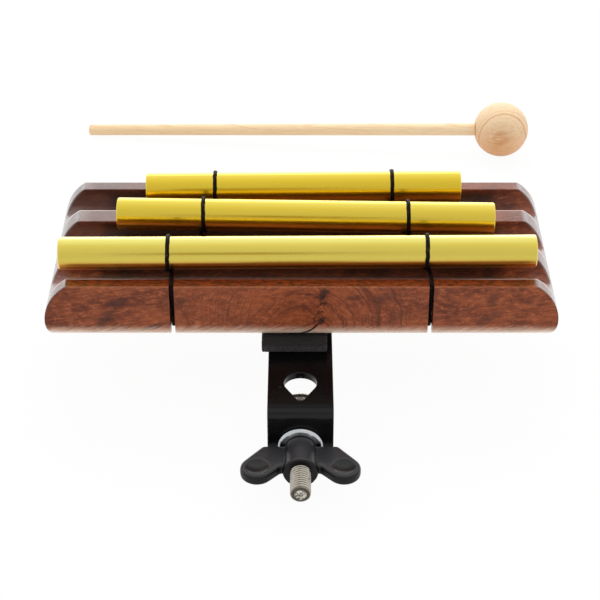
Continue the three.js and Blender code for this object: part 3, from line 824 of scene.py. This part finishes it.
def hangers():
    """Where each rod lies, and the edges of wood that its two cords go round."""
    mouth = HOLE_DIAMETER / 2
    holes = (FIRST_HOLE, FIRST_HOLE + COVE_PITCH)
    kerf = (kerf_floor(GROOVE_DEPTH), kerf_floor(BASE_HEIGHT))
    fronts = [kerf] + [(y + mouth,) * 2 for y in holes]
    backs = [(y - mouth,) * 2 for y in holes] + [tuple(BASE_DEPTH - y for y in kerf)]
    found = []
    for i, (name, share) in enumerate(NODE_SHARES.items()):
        node = f"chime_rod_{name}"
        left, right = turned_axis(node)
        found.append(SimpleNamespace(
            name=name,
            left=left - BASE_ORIGIN,
            right=right - BASE_ORIGIN,
            radius=np.ptp(node_points(node)[:, 2]) / 2,
            reach=norm(right - left) * (0.5 - share),
            cove=FIRST_COVE + i * COVE_PITCH,
            front=fronts[i],
            back=backs[i],
            kerf_front=i == 0,
            kerf_back=i == 2,
        ))
    return found


def cord_cuts(hanger):
    """The groove, knot pocket, holes and kerfs of one rod's two cords."""
    mouth, half, roof = HOLE_DIAMETER / 2, KERF_WIDTH / 2, BASE_HEIGHT + SPILL
    front, back = hanger.front[0], hanger.back[0]
    edges = ((hanger.kerf_front, front, -1), (hanger.kerf_back, back, 1))
    start, end = (edge + way * mouth * (1 if kerf else 2) for kerf, edge, way in edges)
    cuts = []
    for side in (-1, 1):
        x = side * hanger.reach
        low = (x - GROOVE_WIDTH / 2, start, -SPILL)
        cuts.append(block("groove", low, (x + GROOVE_WIDTH / 2, end, GROOVE_DEPTH)))
        cuts.append(pin("pocket", x, (front + back) / 2, POCKET_DIAMETER, -SPILL, POCKET_DEPTH))
        for kerf, edge, way in edges:
            if not kerf:
                cuts.append(pin("hole", x, edge + way * mouth, HOLE_DIAMETER, -SPILL, roof))
                continue
            profile = [(-SPILL, -SPILL), (kerf_floor(-SPILL), -SPILL)]
            profile += [(kerf_floor(roof), roof), (-SPILL, roof)]
            if way > 0:
                profile = [(BASE_DEPTH - y, z) for y, z in profile]
            kerf_x = x - side * (half - CORD_WIDTH / 2 - KERF_SLACK)
            cuts.append(prism("kerf", profile, "x", kerf_x - half, kerf_x + half))
    return cuts


def screw_places():
    """Each screw's name, its X and Y, and its lowest and highest Z."""
    for name in ("front", "rear"):
        low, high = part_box(f"bracket_screw_{name}")
        middle = (low + high) / 2 / MM
        yield name, middle.x, middle.y, low.z / MM, high.z / MM


def wood_base(material, rods):
    base = prism("base_block", base_section(), "x", -BASE_HALF_LENGTH - 1, BASE_HALF_LENGTH + 1)
    ends = prism("base_ends", base_outline(), "y", -1, BASE_DEPTH + 1)
    combine(base, [ends], "INTERSECT")
    round_edges(base, EDGE_ROUND)
    cuts = [cut for hanger in rods for cut in cord_cuts(hanger)]
    for _, x, y, _, top in screw_places():
        px, py, pz = np.array([x, y, top]) - BASE_ORIGIN
        cuts.append(pin("pilot", px, py, SCREW_HOLE, -1, pz + SCREW_CLEARANCE))
    combine(base, cuts)
    settle(base, BASE_ORIGIN, material, "base", ["wood_base"], 50)
    even_normals(base)


# Rods and cords


def chime_rod(hanger, material):
    left, right, radius = hanger.left, hanger.right, hanger.radius
    length = norm(right - left)
    profile = [(0.0, 0.0), (0.0, radius * 0.5)]
    for angle in np.linspace(0, QUARTER, 7):
        along = ROD_ROUND * (1 - cos(angle))
        profile.append((along, radius - ROD_ROUND * (1 - sin(angle))))
    middle = [(length * k / 8, radius) for k in range(1, 8)]
    rings = profile + middle + [(length - a, r) for a, r in reversed(profile)]
    name = hanger.name
    rod = revolve(f"rod_{name}", rings, left, right - left, 128)
    nodes = [f"chime_rod_{name}"]
    settle(rod, BASE_ORIGIN, material, f"{name}_chime", nodes)


def crossing_slope(y1, z1, radius1, y2, z2, radius2):
    """The slope of a line that leaves one circle over its top and meets the next below."""
    apart = hypot(y2 - y1, z2 - z1)
    return atan2(z2 - z1, y2 - y1) - asin((radius1 + radius2) / apart)


def cord_route(hanger, side):
    """One cord's line in five stretches: up to the cove, to the rod, round it and back."""
    left, right = hanger.left, hanger.right
    line = (right - left) / norm(right - left)
    node_x, node_y, rod_z = (left + right) / 2 + side * hanger.reach * line
    x = side * hanger.reach
    drift = copysign(WRAP_DRIFT, x - node_x)
    rest = CORD_HEIGHT / 2 + CORD_AIR
    coil = hanger.radius + WRAP_HEIGHT / 2 + WRAP_AIR
    (front_low, front_high), (back_low, back_high) = hanger.front, hanger.back
    rise = BASE_HEIGHT - GROOVE_DEPTH
    front_lean = atan2(front_low - front_high, rise)
    back_lean = atan2(back_high - back_low, rise)
    front_edge = hanger.cove - COVE_WIDTH / 2 - EDGE_ROUND
    back_edge = hanger.cove + COVE_WIDTH / 2 + EDGE_ROUND
    middle = (x, (front_low + back_low) / 2, GROOVE_DEPTH - rest)
    down = crossing_slope(front_edge, BASE_HEIGHT, rest, node_y, rod_z, coil)
    up = crossing_slope(-back_edge, BASE_HEIGHT, rest, -node_y, rod_z, coil)

    def bend(px, y, z, start, end):
        return [(px, a, b) for a, b in arc(y, z, rest, start, end, 6)]

    front = [middle]
    front += bend(x, front_low, GROOVE_DEPTH, -QUARTER, -2 * QUARTER + front_lean)
    front += bend(x, front_high, BASE_HEIGHT, 2 * QUARTER + front_lean, QUARTER)
    front += bend(x, front_edge, BASE_HEIGHT, QUARTER, QUARTER + down)
    wrap = []
    for share in np.linspace(0, 1, 97):
        angle = down + (2 * pi - up - down) * share
        px = node_x + drift * (1 - 2 * share) ** 3
        wrap.append((px, node_y + coil * sin(angle), rod_z - coil * cos(angle)))
    leave = node_x - drift
    part_way = leave + (x - leave) * RETURN_SHARE
    back = bend(part_way, back_edge, BASE_HEIGHT, QUARTER - up, QUARTER)
    back += bend(x, back_high, BASE_HEIGHT, QUARTER, -back_lean)
    back += bend(x, back_low, GROOVE_DEPTH, -back_lean, -QUARTER)
    back.append(middle)
    return front, [front[-1], wrap[0]], wrap, [wrap[-1], back[0]], back


def even_line(points, step):
    """The same line with points at even distances, and how far along each lies."""
    points = np.array(points, float)
    gaps = norm(np.diff(points, axis=0), axis=1)
    points = points[np.concatenate([[True], gaps > 1e-6])]
    run = np.concatenate([[0.0], np.cumsum(norm(np.diff(points, axis=0), axis=1))])
    marks = np.linspace(0, run[-1], max(2, round(run[-1] / step)) + 1)
    return np.stack([np.interp(marks, run, points[:, k]) for k in range(3)], axis=1), marks


def cord_tube(name, points, start_size, end_size, run_start, seed):
    """A soft oval tube along a line, with the braid's own coordinates on its skin."""
    line, marks = even_line(points, CORD_STEP)
    tangents = np.gradient(line, marks, axis=0)
    tangents /= norm(tangents, axis=1)[:, None]
    across = np.array([1.0, 0.0, 0.0]) - tangents * tangents[:, :1]
    across /= norm(across, axis=1)[:, None]
    outward = np.cross(tangents, across)
    shares = (marks / marks[-1])[:, None]
    shares = shares * shares * (3 - 2 * shares)
    sizes = np.array(start_size) * (1 - shares) + np.array(end_size) * shares
    sides = range(CORD_SIDES)
    verts = []
    for i, centre in enumerate(line):
        width, height = sizes[i] / 2
        run = run_start + marks[i]
        sway = CORD_SWAY * noise.noise(Vector((run * 0.22, 0.0, seed)))
        for j in sides:
            angle = j * 2 * pi / CORD_SIDES
            spoke = Vector((cos(angle), sin(angle), 0.0))
            lump = CORD_LUMP * noise.noise(Vector((run * 0.5, 0.0, seed)) + spoke * 0.5)
            side = width * cos(angle) * (1 + lump) + sway
            verts.append(centre + side * across[i] + height * sin(angle) * outward[i])
    faces, uvs = [], []
    heights = (run_start + marks) / (pi * CORD_WIDTH)
    for i, (low, high) in enumerate(zip(heights, heights[1:])):
        first, second = i * CORD_SIDES, (i + 1) * CORD_SIDES
        for j in sides:
            after = (j + 1) % CORD_SIDES
            faces.append([first + j, first + after, second + after, second + j])
            u, v = j / CORD_SIDES, (j + 1) / CORD_SIDES
            uvs += [(u, low), (v, low), (v, high), (u, high)]
    last = (len(line) - 1) * CORD_SIDES
    faces += [list(sides)[::-1], [last + j for j in sides]]
    uvs += [(0.0, 0.0)] * (2 * CORD_SIDES)
    obj = mesh_object(name, verts, faces)
    layer = obj.data.uv_layers.new(name="braid")
    layer.data.foreach_set("uv", np.array(uvs, np.float32).ravel())
    return obj, run_start + marks[-1]


def join_meshes(target, others):
    shape = bmesh.new()
    for obj in [target, *others]:
        shape.from_mesh(obj.data)
    shape.to_mesh(target.data)
    shape.free()
    for obj in others:
        bpy.data.objects.remove(obj)


def knot(name, centre, seed):
    """A small overhand knot in its pocket: one closed tube along a trefoil."""
    spread = (KNOT_DIAMETER - CORD_HEIGHT) / 6
    lift = (KNOT_HEIGHT - CORD_HEIGHT) / 2
    points = []
    for t in np.linspace(0, 2 * pi, 72, endpoint=False):
        x = (sin(t) + 2 * sin(2 * t)) * spread
        y = (cos(t) - 2 * cos(2 * t)) * spread
        points.append((centre[0] + x, centre[1] + y, centre[2] - sin(3 * t) * lift))
    size = (CORD_HEIGHT, CORD_HEIGHT)
    return cord_tube(name, points + points[:1], size, size, 0.0, seed)[0]


def held_cord(hanger, side, material):
    name = hanger.name
    body = f"{name}_chime"
    node = f"cord_{name}_{'left' if side < 0 else 'right'}"
    front, rise, wrap, fall, back = cord_route(hanger, side)
    plain, wound = (CORD_WIDTH, CORD_HEIGHT), (WRAP_WIDTH, WRAP_HEIGHT)
    seed = 10.0 * hanger.cove + side
    mark, tubes = 0.0, []
    for end, points, start_size, end_size in (
        ("run", front, plain, plain),
        ("front", rise, plain, wound),
        ("wrap", wrap, wound, wound),
        ("back", fall, wound, plain),
        ("down", back, plain, plain),
    ):
        tube, mark = cord_tube(f"{node}_{end}", points, start_size, end_size, mark, seed)
        tubes.append(tube)
    run, to_rod, turn, from_rod, down = tubes
    join_meshes(run, [down, knot(f"{node}_knot", front[0], seed)])
    settle(run, BASE_ORIGIN, material, "base", [node], 60)
    settle(turn, BASE_ORIGIN, material, body, [node], 60)
    for strand, (still, moving) in ((to_rod, rise), (from_rod, fall[::-1])):
        settle(strand, BASE_ORIGIN, material, None, [node], 60)
        start, end = ((BASE_ORIGIN + np.array(p)) * MM for p in (still, moving))
        tuple(start)
        tuple(end)
        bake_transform(strand)


# Bracket, pad and screws


def bracket_pad(material):
    low, high = box_mm("bracket_pad")
    shrink = np.array([PAD_SHRINK, PAD_SHRINK, 0])
    pad = block("pad", low + shrink, high - shrink)
    holes = []
    for _, x, y, *_ in screw_places():
        holes.append(pin("hole", x, y, SCREW_HOLE, low[2] - 1, high[2] + 1))
    combine(pad, holes)
    round_edges(pad, PAD_ROUND, 3, 60)
    grid = pad.modifiers.new("grid", "REMESH")
    grid.mode = "VOXEL"
    grid.voxel_size = PAD_CELL
    apply_modifiers(pad)
    for vertex in pad.data.vertices:
        point = vertex.co
        grain = noise.fractal(point * 1.1, 1.0, 2.0, 3)
        inside = min(point.z - low[2], high[2] - point.z)
        vertex.co = point + vertex.normal * grain * PAD_GRAIN * min(1.0, max(0.0, inside / 0.5))
    settle(pad, CLAMP_ORIGIN, material, "base", ["bracket_pad"], 60)


def vee_outline():
    """A round hole whose two flats run forward to a small rounded apex."""
    lean = radians(VEE_HALF_ANGLE)
    apex = -(VEE_RADIUS - VEE_APEX_RADIUS) / sin(lean)
    points = arc(0, 0, VEE_RADIUS, -lean, pi + lean, 48)
    return points + arc(0, apex, VEE_APEX_RADIUS, pi + lean, 2 * pi - lean, 8)


def mount_bracket(material):
    low, high = box_mm("mount_bracket")
    top, half = high[2], high[0]
    under = top - STRAP_THICKNESS
    bend_y, bend_z = low[1] + BEND_RADIUS, top - BEND_RADIUS
    section = [(high[1], under), (high[1], top)]
    section += arc(bend_y, bend_z, BEND_RADIUS, QUARTER, 2 * QUARTER, 20)
    section += [(low[1], low[2]), (low[1] + STRAP_THICKNESS, low[2])]
    section += arc(bend_y, bend_z, BEND_RADIUS - STRAP_THICKNESS, 2 * QUARTER, QUARTER, 10)
    bracket = prism("bracket", section, "x", -half - 1, half + 1)
    front = arc(0, 0, half, -pi, 0, 64) + [(half, top + 1), (-half, top + 1)]
    corner_x, corner_y = half - STRAP_CORNER, high[1] - STRAP_CORNER
    plan = [(-half, low[1] - 1), (half, low[1] - 1)]
    plan += arc(corner_x, corner_y, STRAP_CORNER, 0, QUARTER, 12)
    plan += arc(-corner_x, corner_y, STRAP_CORNER, QUARTER, 2 * QUARTER, 12)
    front = prism("front", front, "y", low[1] - 1, high[1] + 1)
    combine(bracket, [front, prism("plan", plan, "z", low[2] - 1, top + 1)], "INTERSECT")
    bolt_hole = drum(5, BOLT_HOLE_DIAMETER / 2)
    cuts = [
        prism("vee", vee_outline(), "z", under - 1, top + 1),
        revolve("bolt_hole", bolt_hole, (0, low[1] - 1, 0), (0, 1, 0), 64),
    ]
    for _, x, y, *_ in screw_places():
        cuts.append(pin("screw_hole", x, y, SCREW_HOLE, under - 1, top + 1))
    combine(bracket, cuts)
    round_edges(bracket, EDGE_ROUND, 3, 30)
    settle(bracket, CLAMP_ORIGIN, material, "base", ["mount_bracket"], 50)
    even_normals(bracket)


def thread(name, place, line, start, end, radius, depth, pitch, tip, sides):
    """A threaded rod whose mesh follows the helix, its tip held inside a given outline."""
    line = np.array(line, float)
    first = np.cross(line, (1.0, 0.0, 0.0))
    first /= norm(first)
    second = np.cross(line, first)
    steps = 12
    phases = np.arange(steps) / steps
    grooves = np.interp(phases, (0.0, 0.1, 0.44, 0.56, 0.9, 1.0), (0, 0, 1, 1, 0, 0))
    marks, reaches = zip(*[(start, radius), *tip])
    count = int(ceil((end - start) / pitch) + 2) * steps
    points, faces = [], []
    for k in range(count + 1):
        for j in range(sides):
            along = start - pitch + pitch * (k / steps + j / sides)
            along = min(max(along, start), end)
            reach = radius - depth * grooves[k % steps] * min(1.0, (along - start) / pitch)
            reach = min(reach, float(np.interp(along, marks, reaches)))
            angle = 2 * pi * j / sides
            spoke = cos(angle) * first + sin(angle) * second
            points.append(np.array(place, float) + line * along + reach * spoke)
    for k in range(count - steps):
        for j in range(sides):
            low, high = k * sides + j, (k + 1) * sides + j
            seam = j == sides - 1
            low_after, high_after = (p + steps * sides - j if seam else p + 1 for p in (low, high))
            faces.append([low, low_after, high_after, high])
    obj = mesh_object(name, points, faces)
    shape = bmesh.new()
    shape.from_mesh(obj.data)
    bmesh.ops.remove_doubles(shape, verts=shape.verts, dist=1e-4)
    bmesh.ops.dissolve_degenerate(shape, dist=1e-5, edges=shape.edges)
    rims = [edge for edge in shape.edges if edge.is_boundary]
    bmesh.ops.holes_fill(shape, edges=rims, sides=0)
    shape.to_mesh(obj.data)
    shape.free()
    face_outward(obj)
    return obj


def bracket_screw(name, x, y, low, high, material):
    """A pan-head wood screw, head down, with a cross recess."""
    head, length, shank = SCREW_HEAD_HEIGHT, high - low, SCREW_DIAMETER / 2
    node = f"bracket_screw_{name}"
    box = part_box(node)
    radius = (box[1].y - box[0].y) / 2 / MM
    rings = [(0.0, 0.0), (0.0, radius * 0.45)]
    for angle in np.linspace(0.2, QUARTER, 8):
        along = head * 0.62 * (1 - cos(angle))
        rings.append((along, radius * (0.45 + 0.55 * sin(angle))))
    rings += [(head, radius), (head, shank), (head + 1.0, shank), (head + 1.0, 0.0)]
    place, line = (x, y, low), (0, 0, 1)
    screw = revolve(f"screw_{name}", rings, place, line, 48)
    tip = [(length - SCREW_DIAMETER, shank), (length, 0.15)]
    worm = thread("worm", place, line, head + 0.9, length, shank, 0.6, SCREW_PITCH, tip, 40)
    combine(screw, [worm], "UNION")
    arms = []
    for wide, deep in ((RECESS_REACH, RECESS_HALF_WIDTH), (RECESS_HALF_WIDTH, RECESS_REACH)):
        roof = (x + wide, y + deep, low + RECESS_DEPTH)
        arms.append(block("arm", (x - wide, y - deep, low - 1), roof))
    combine(screw, arms)
    settle(screw, CLAMP_ORIGIN, material, "base", [node])


# Eye bolt, washer and wing nut


def eye_bolt(material):
    low, high = box_mm("eye_bolt")
    bar = EYE_BAR_WIDTH / 2
    ring_radius = EYE_HOLE_RADIUS + bar
    centre_y = high[1] - ring_radius - bar
    place, line = (0, centre_y - ring_radius, 0), (0, -1, 0)
    length = place[1] - low[1]
    shoulder = bar + EYE_NECK
    rings = [(0.0, 0.0), (0.0, BOLT_RADIUS - 0.9), (bar, BOLT_RADIUS)]
    rings += [(shoulder + 0.1, BOLT_RADIUS), (shoulder + 0.1, 0.0)]
    bolt = revolve("bolt", rings, place, line)
    root = BOLT_RADIUS - THREAD_DEPTH
    tip = [(length - TIP_CHAMFER, BOLT_RADIUS), (length - 0.1, root - 0.35), (length, root - 0.6)]
    size = (BOLT_RADIUS, THREAD_DEPTH, THREAD_PITCH)
    shank = thread("shank", place, line, shoulder, length, *size, tip, 72)
    circle = []
    for angle in np.arange(36) * 2 * pi / 36:
        reach = ring_radius + bar * sin(angle)
        circle.append((EYE_BAR_HEIGHT / 2 * cos(angle), reach))
    eye = revolve("eye", circle, (0, centre_y, 0), (0, 0, 1), closed=True)
    combine(bolt, [shank, eye], "UNION")
    settle(bolt, CLAMP_ORIGIN, material, "clamp_eye", ["eye_bolt"], 60)


def clamp_washer(material):
    low, high = box_mm("clamp_washer")
    outer, inner = (high[0] - low[0]) / 2, BOLT_RADIUS + WASHER_SLACK
    thick = high[1] - low[1]
    rings = [(0.0, inner), (0.0, outer - 0.8), (0.1, outer - 0.6), (thick - 0.75, outer)]
    rings += [(thick - 0.1, outer), (thick, outer - 0.1), (thick, inner)]
    washer = revolve("washer", rings, (0, low[1], 0), (0, 1, 0), closed=True)
    settle(washer, CLAMP_ORIGIN, material, "base", ["clamp_washer"])


def touch_angle(x1, y1, radius1, x2, y2, radius2, side):
    """The angle at which a line touches two circles from outside, on one side."""
    apart = hypot(x2 - x1, y2 - y1)
    return atan2(y2 - y1, x2 - x1) + side * acos((radius1 - radius2) / apart)


def wing_outline(side, back):
    """One wing from the player's side, its X and Y, from its root round the thumb lobe."""
    x, y = WING_SHOULDER - WING_SHOULDER_ROUND, -SEAT_GAP - WING_SHOULDER_ROUND
    lobe = (LOBE_OUT, -LOBE_FORWARD, LOBE_RADIUS)
    root = touch_angle(WING_ROOT_OUT, -WING_ROOT_FORWARD, 0, *lobe, -1)
    shoulder = touch_angle(x, y, WING_SHOULDER_ROUND, *lobe, 1)
    points = [(0, -WING_ROOT_FORWARD), (WING_ROOT_OUT, -WING_ROOT_FORWARD)]
    points += arc(*lobe, root, shoulder, 40)
    points += arc(x, y, WING_SHOULDER_ROUND, shoulder, QUARTER, 8)
    points.append((0, -SEAT_GAP))
    return [(side * px, back + py) for px, py in points]


def soften_roots(nut):
    """Rounds the corners where the wings leave the barrel."""
    roots = nut.vertex_groups.new(name="roots")
    for vertex in nut.data.vertices:
        out = abs(vertex.co.x)
        if NUT_REAR_RADIUS - 1.2 < out < NUT_FRONT_RADIUS + 1.8:
            roots.add([vertex.index], 1.0, "REPLACE")
    smooth = nut.modifiers.new("roots", "SMOOTH")
    smooth.vertex_group = "roots"
    smooth.factor = 0.5
    smooth.iterations = 24
    apply_modifiers(nut)


def wing_nut(material):
    back = box_mm("wing_nut")[1][1]
    half = WING_THICKNESS / 2
    rings = [(0.0, 0.0), (0.0, NUT_REAR_RADIUS - 0.3), (0.3, NUT_REAR_RADIUS)]
    rings += [(NUT_LENGTH - 0.7, NUT_FRONT_RADIUS), (NUT_LENGTH - 0.2, NUT_FRONT_RADIUS - 0.2)]
    rings += [(NUT_LENGTH, NUT_FRONT_RADIUS - 0.8), (NUT_LENGTH, 0.0)]
    nut = revolve("nut", rings, (0, back, 0), (0, -1, 0))
    wings = []
    for side in (-1, 1):
        wing = prism("wing", wing_outline(side, back), "z", -half, half)
        round_edges(wing, WING_ROUND, 4, 40)
        wings.append(wing)
    combine(nut, wings, "UNION")
    ball = (DIMPLE_RADIUS**2 + DIMPLE_DEPTH**2) / (2 * DIMPLE_DEPTH)
    sweep = acos((ball - DIMPLE_DEPTH - 0.8) / ball)
    lens = []
    for angle in np.linspace(0, sweep, 12):
        lens.append((ball * (1 - cos(angle)) - DIMPLE_DEPTH, ball * sin(angle)))
    lens.append((lens[-1][0], 0.0))
    lenses = []
    for side in (-1, 1):
        for face in (-1, 1):
            centre = (side * LOBE_OUT, back - LOBE_FORWARD, face * half)
            lenses.append(revolve("lens", lens, centre, (0, 0, face), 64))
    combine(nut, lenses)
    skin = nut.modifiers.new("skin", "REMESH")
    skin.mode = "VOXEL"
    skin.voxel_size = NUT_CELL
    soften = nut.modifiers.new("soften", "SMOOTH")
    soften.factor = 0.5
    soften.iterations = 5
    apply_modifiers(nut)
    soften_roots(nut)
    rings = drum(3 * NUT_LENGTH, NUT_BORE_RADIUS)
    combine(nut, [revolve("bore", rings, (0, back + NUT_LENGTH, 0), (0, -1, 0))])
    settle(nut, CLAMP_ORIGIN, material, "clamp_nut", ["wing_nut"], 50)


# Mallet


def mallet(shaft_material, head_material):
    tip, inner = turned_axis("mallet_shaft")
    reach = norm(inner - tip)
    line = (inner - tip) / reach
    radius = np.ptp(node_points("mallet_head")[:, 2]) / 2
    neck = reach - SHAFT_SOCKET
    points = node_points("mallet_shaft") - tip
    along = points @ line
    spread = norm(points - np.outer(along, line), axis=1)
    tip_radius = spread[along < reach / 2].max()
    neck_radius = spread[along > reach / 2].max()
    rings = [(0.0, 0.0)]
    for angle in np.linspace(0.2, QUARTER, 8):
        back = SHAFT_TIP_ROUND * (1 - cos(angle)) * 0.8
        rings.append((back, tip_radius - SHAFT_TIP_ROUND * (1 - sin(angle))))
    for k in range(1, 40):
        share = k / 40
        at = SHAFT_TIP_ROUND + (neck - SHAFT_TIP_ROUND) * share
        uneven = SHAFT_UNEVEN * noise.noise(Vector((at * 0.06, 0.0, 3.0)))
        rings.append((at, tip_radius + (neck_radius - tip_radius) * share + uneven))
    rings += [(neck, neck_radius), (reach, neck_radius), (reach, 0.0)]
    shaft = revolve("shaft", rings, tip, line, 48)
    bore = neck_radius + 0.05
    angles = np.linspace(asin(NECK_FLAT / radius), pi, 56)
    rim, depth = -radius * cos(angles[0]), SHAFT_SOCKET - radius + 0.3
    rings = [(depth, 0.0), (depth, bore), (rim + 0.12, bore), (rim + 0.02, bore + 0.15)]
    rings.append((rim, NECK_FLAT - 0.15))
    rings += [(-radius * cos(a), radius * sin(a)) for a in angles[1:-1]]
    rings.append((radius, 0.0))
    ball = revolve("ball", rings, tip + line * (neck + radius), line)
    settle(shaft, CLAMP_ORIGIN, shaft_material, "mallet", ["mallet_shaft"])
    settle(ball, CLAMP_ORIGIN, head_material, "mallet", ["mallet_head"], 40)


def ball_middle():
    low, high = box_mm("mallet_head")
    middle = (low + high) / 2
    middle[0] = high[0] - (high[2] - low[2]) / 2
    return middle


# Camera, floor and light


def add_camera():
    data = bpy.data.cameras.new("camera")
    data.lens = CAMERA_LENS
    data.sensor_width = 36.0
    data.clip_start, data.clip_end = 0.01, 50.0
    camera = linked("camera", data)
    camera.location = (BASE_ORIGIN + np.array(CAMERA_PLACE)) * MM
    camera.rotation_euler = (radians(90 - CAMERA_TILT), 0, 0)
    bpy.context.scene.camera = camera


def plate(name, corners, finish):
    """A flat sheet of the stage, its corners in metres."""
    sheet = mesh_object(name, corners, [[0, 1, 2, 3]])
    sheet.data.materials.append(finish.material)
    return sheet


def add_floor():
    """Seen white, but with the part's shadow; it lights the part less near the clamp."""
    level = cad_box[0].z - FLOOR_DROP
    corners = [(FLOOR_HALF * x, FLOOR_HALF * y, level) for x, y in SQUARE]
    finish = Finish("floor", Base_Color=(232, 232, 230), Roughness=0.9)
    x, y, z = finish.parts(finish.place())
    round_clamp = finish.length(x, finish.add(y, 38.0), z)
    rays = finish.node("LightPath")
    seen, times = rays["Is Camera Ray"], finish.times
    lit = times(finish.span(y, -20.0, 20.0, 0.76, 1.15), finish.span(round_clamp, 12, 62, 0.75, 1))
    strength = finish.add(times(lit, finish.less(1.0, seen)), seen)
    glow = finish.node("Emission", {0: (1.0, 1.0, 1.0, 1.0), 1: strength})[0]
    share = finish.add(times(seen, 0.95), times(rays["Is Glossy Ray"], 0.9))
    share = finish.add(share, times(rays["Is Diffuse Ray"], 0.3))
    both = finish.node("MixShader", {0: share, 1: finish.shader.outputs[0], 2: glow})[0]
    finish.feed(finish.tree.nodes["Material Output"].inputs["Surface"], both)
    plate("floor", corners, finish)


def add_panel(name, place, aim, size, watts):
    data = bpy.data.lights.new(name, "AREA")
    data.shape = "RECTANGLE"
    data.size, data.size_y = size
    data.energy = watts
    light = linked(name, data)
    light.location = place
    light.visible_glossy = False
    light.rotation_euler = (Vector(aim) - Vector(place)).to_track_quat("-Z", "Y").to_euler()


def add_world():
    """White to the camera; to the part, brightest low at the back and even elsewhere."""
    world = bpy.data.worlds.new("studio")
    world.use_nodes = True
    bpy.context.scene.world = world
    sky = Nodes(world.node_tree)
    back = sky.parts(sky.node("TexCoord")["Generated"])[1]
    level = sky.add(sky.span(back, -0.9, 0.9, 0.74, 1.1), sky.span(back, 0.72, 0.97, 0.0, 1.5))
    glossy = sky.node("LightPath")["Is Glossy Ray"]
    inputs = sky.tree.nodes["Background"].inputs
    sky.feed(inputs["Color"], (1.0, 1.0, 1.0, 1.0))
    sky.feed(inputs["Strength"], sky.add(sky.times(glossy, sky.less(level, 1.0)), 1.0))


def add_dark_card():
    """The camera's own dark shape, seen only in the rods as a thin streak."""
    x, y, z = (c * MM for c in CARD_PLACE)
    wide, tall = (c * MM / 2 for c in CARD_SIZE)
    finish = Finish("dark_card", Base_Color=(132, 104, 62), Roughness=1.0, Specular_IOR_Level=0.0)
    card = plate("dark_card", [(x + wide * a, y, z + tall * b) for a, b in SQUARE], finish)
    card.visible_camera = False
    card.visible_diffuse = False
    card.visible_shadow = False


def main():
    rods = hangers()
    gold, cord, nickel = gold_finish(), cord_finish(), nickel_finish()
    wood_base(hardwood_finish(), rods)
    for hanger in rods:
        chime_rod(hanger, gold)
        for side in (-1, 1):
            held_cord(hanger, side, cord)
    bracket_pad(foam_finish())
    mount_bracket(coat_finish("black_coat", 0.27, 0.012, 0.5, (8, 7, 8), 0.12))
    for name, x, y, low, high in screw_places():
        bracket_screw(name, x, y, low, high, nickel)
    eye_bolt(nickel)
    clamp_washer(zinc_finish())
    dishes = (LOBE_OUT, box_mm("wing_nut")[1][1] - LOBE_FORWARD)
    wing_nut(coat_finish("black_coat_nut", 0.3, 0.01, 0.25, (44, 43, 46), 0.4, dishes))
    middle = ball_middle()
    mallet(shaft_finish(middle), ball_finish(middle))
    add_camera()
    add_floor()
    add_world()
    add_dark_card()
    add_panel("key", (0.0, 0.85, 1.0), (0.0, 0.06, 0.03), (1.6, 1.1), 11.0)
    bpy.context.scene.view_settings.view_transform = "Standard"


main()
bpy.context.view_layer.update()
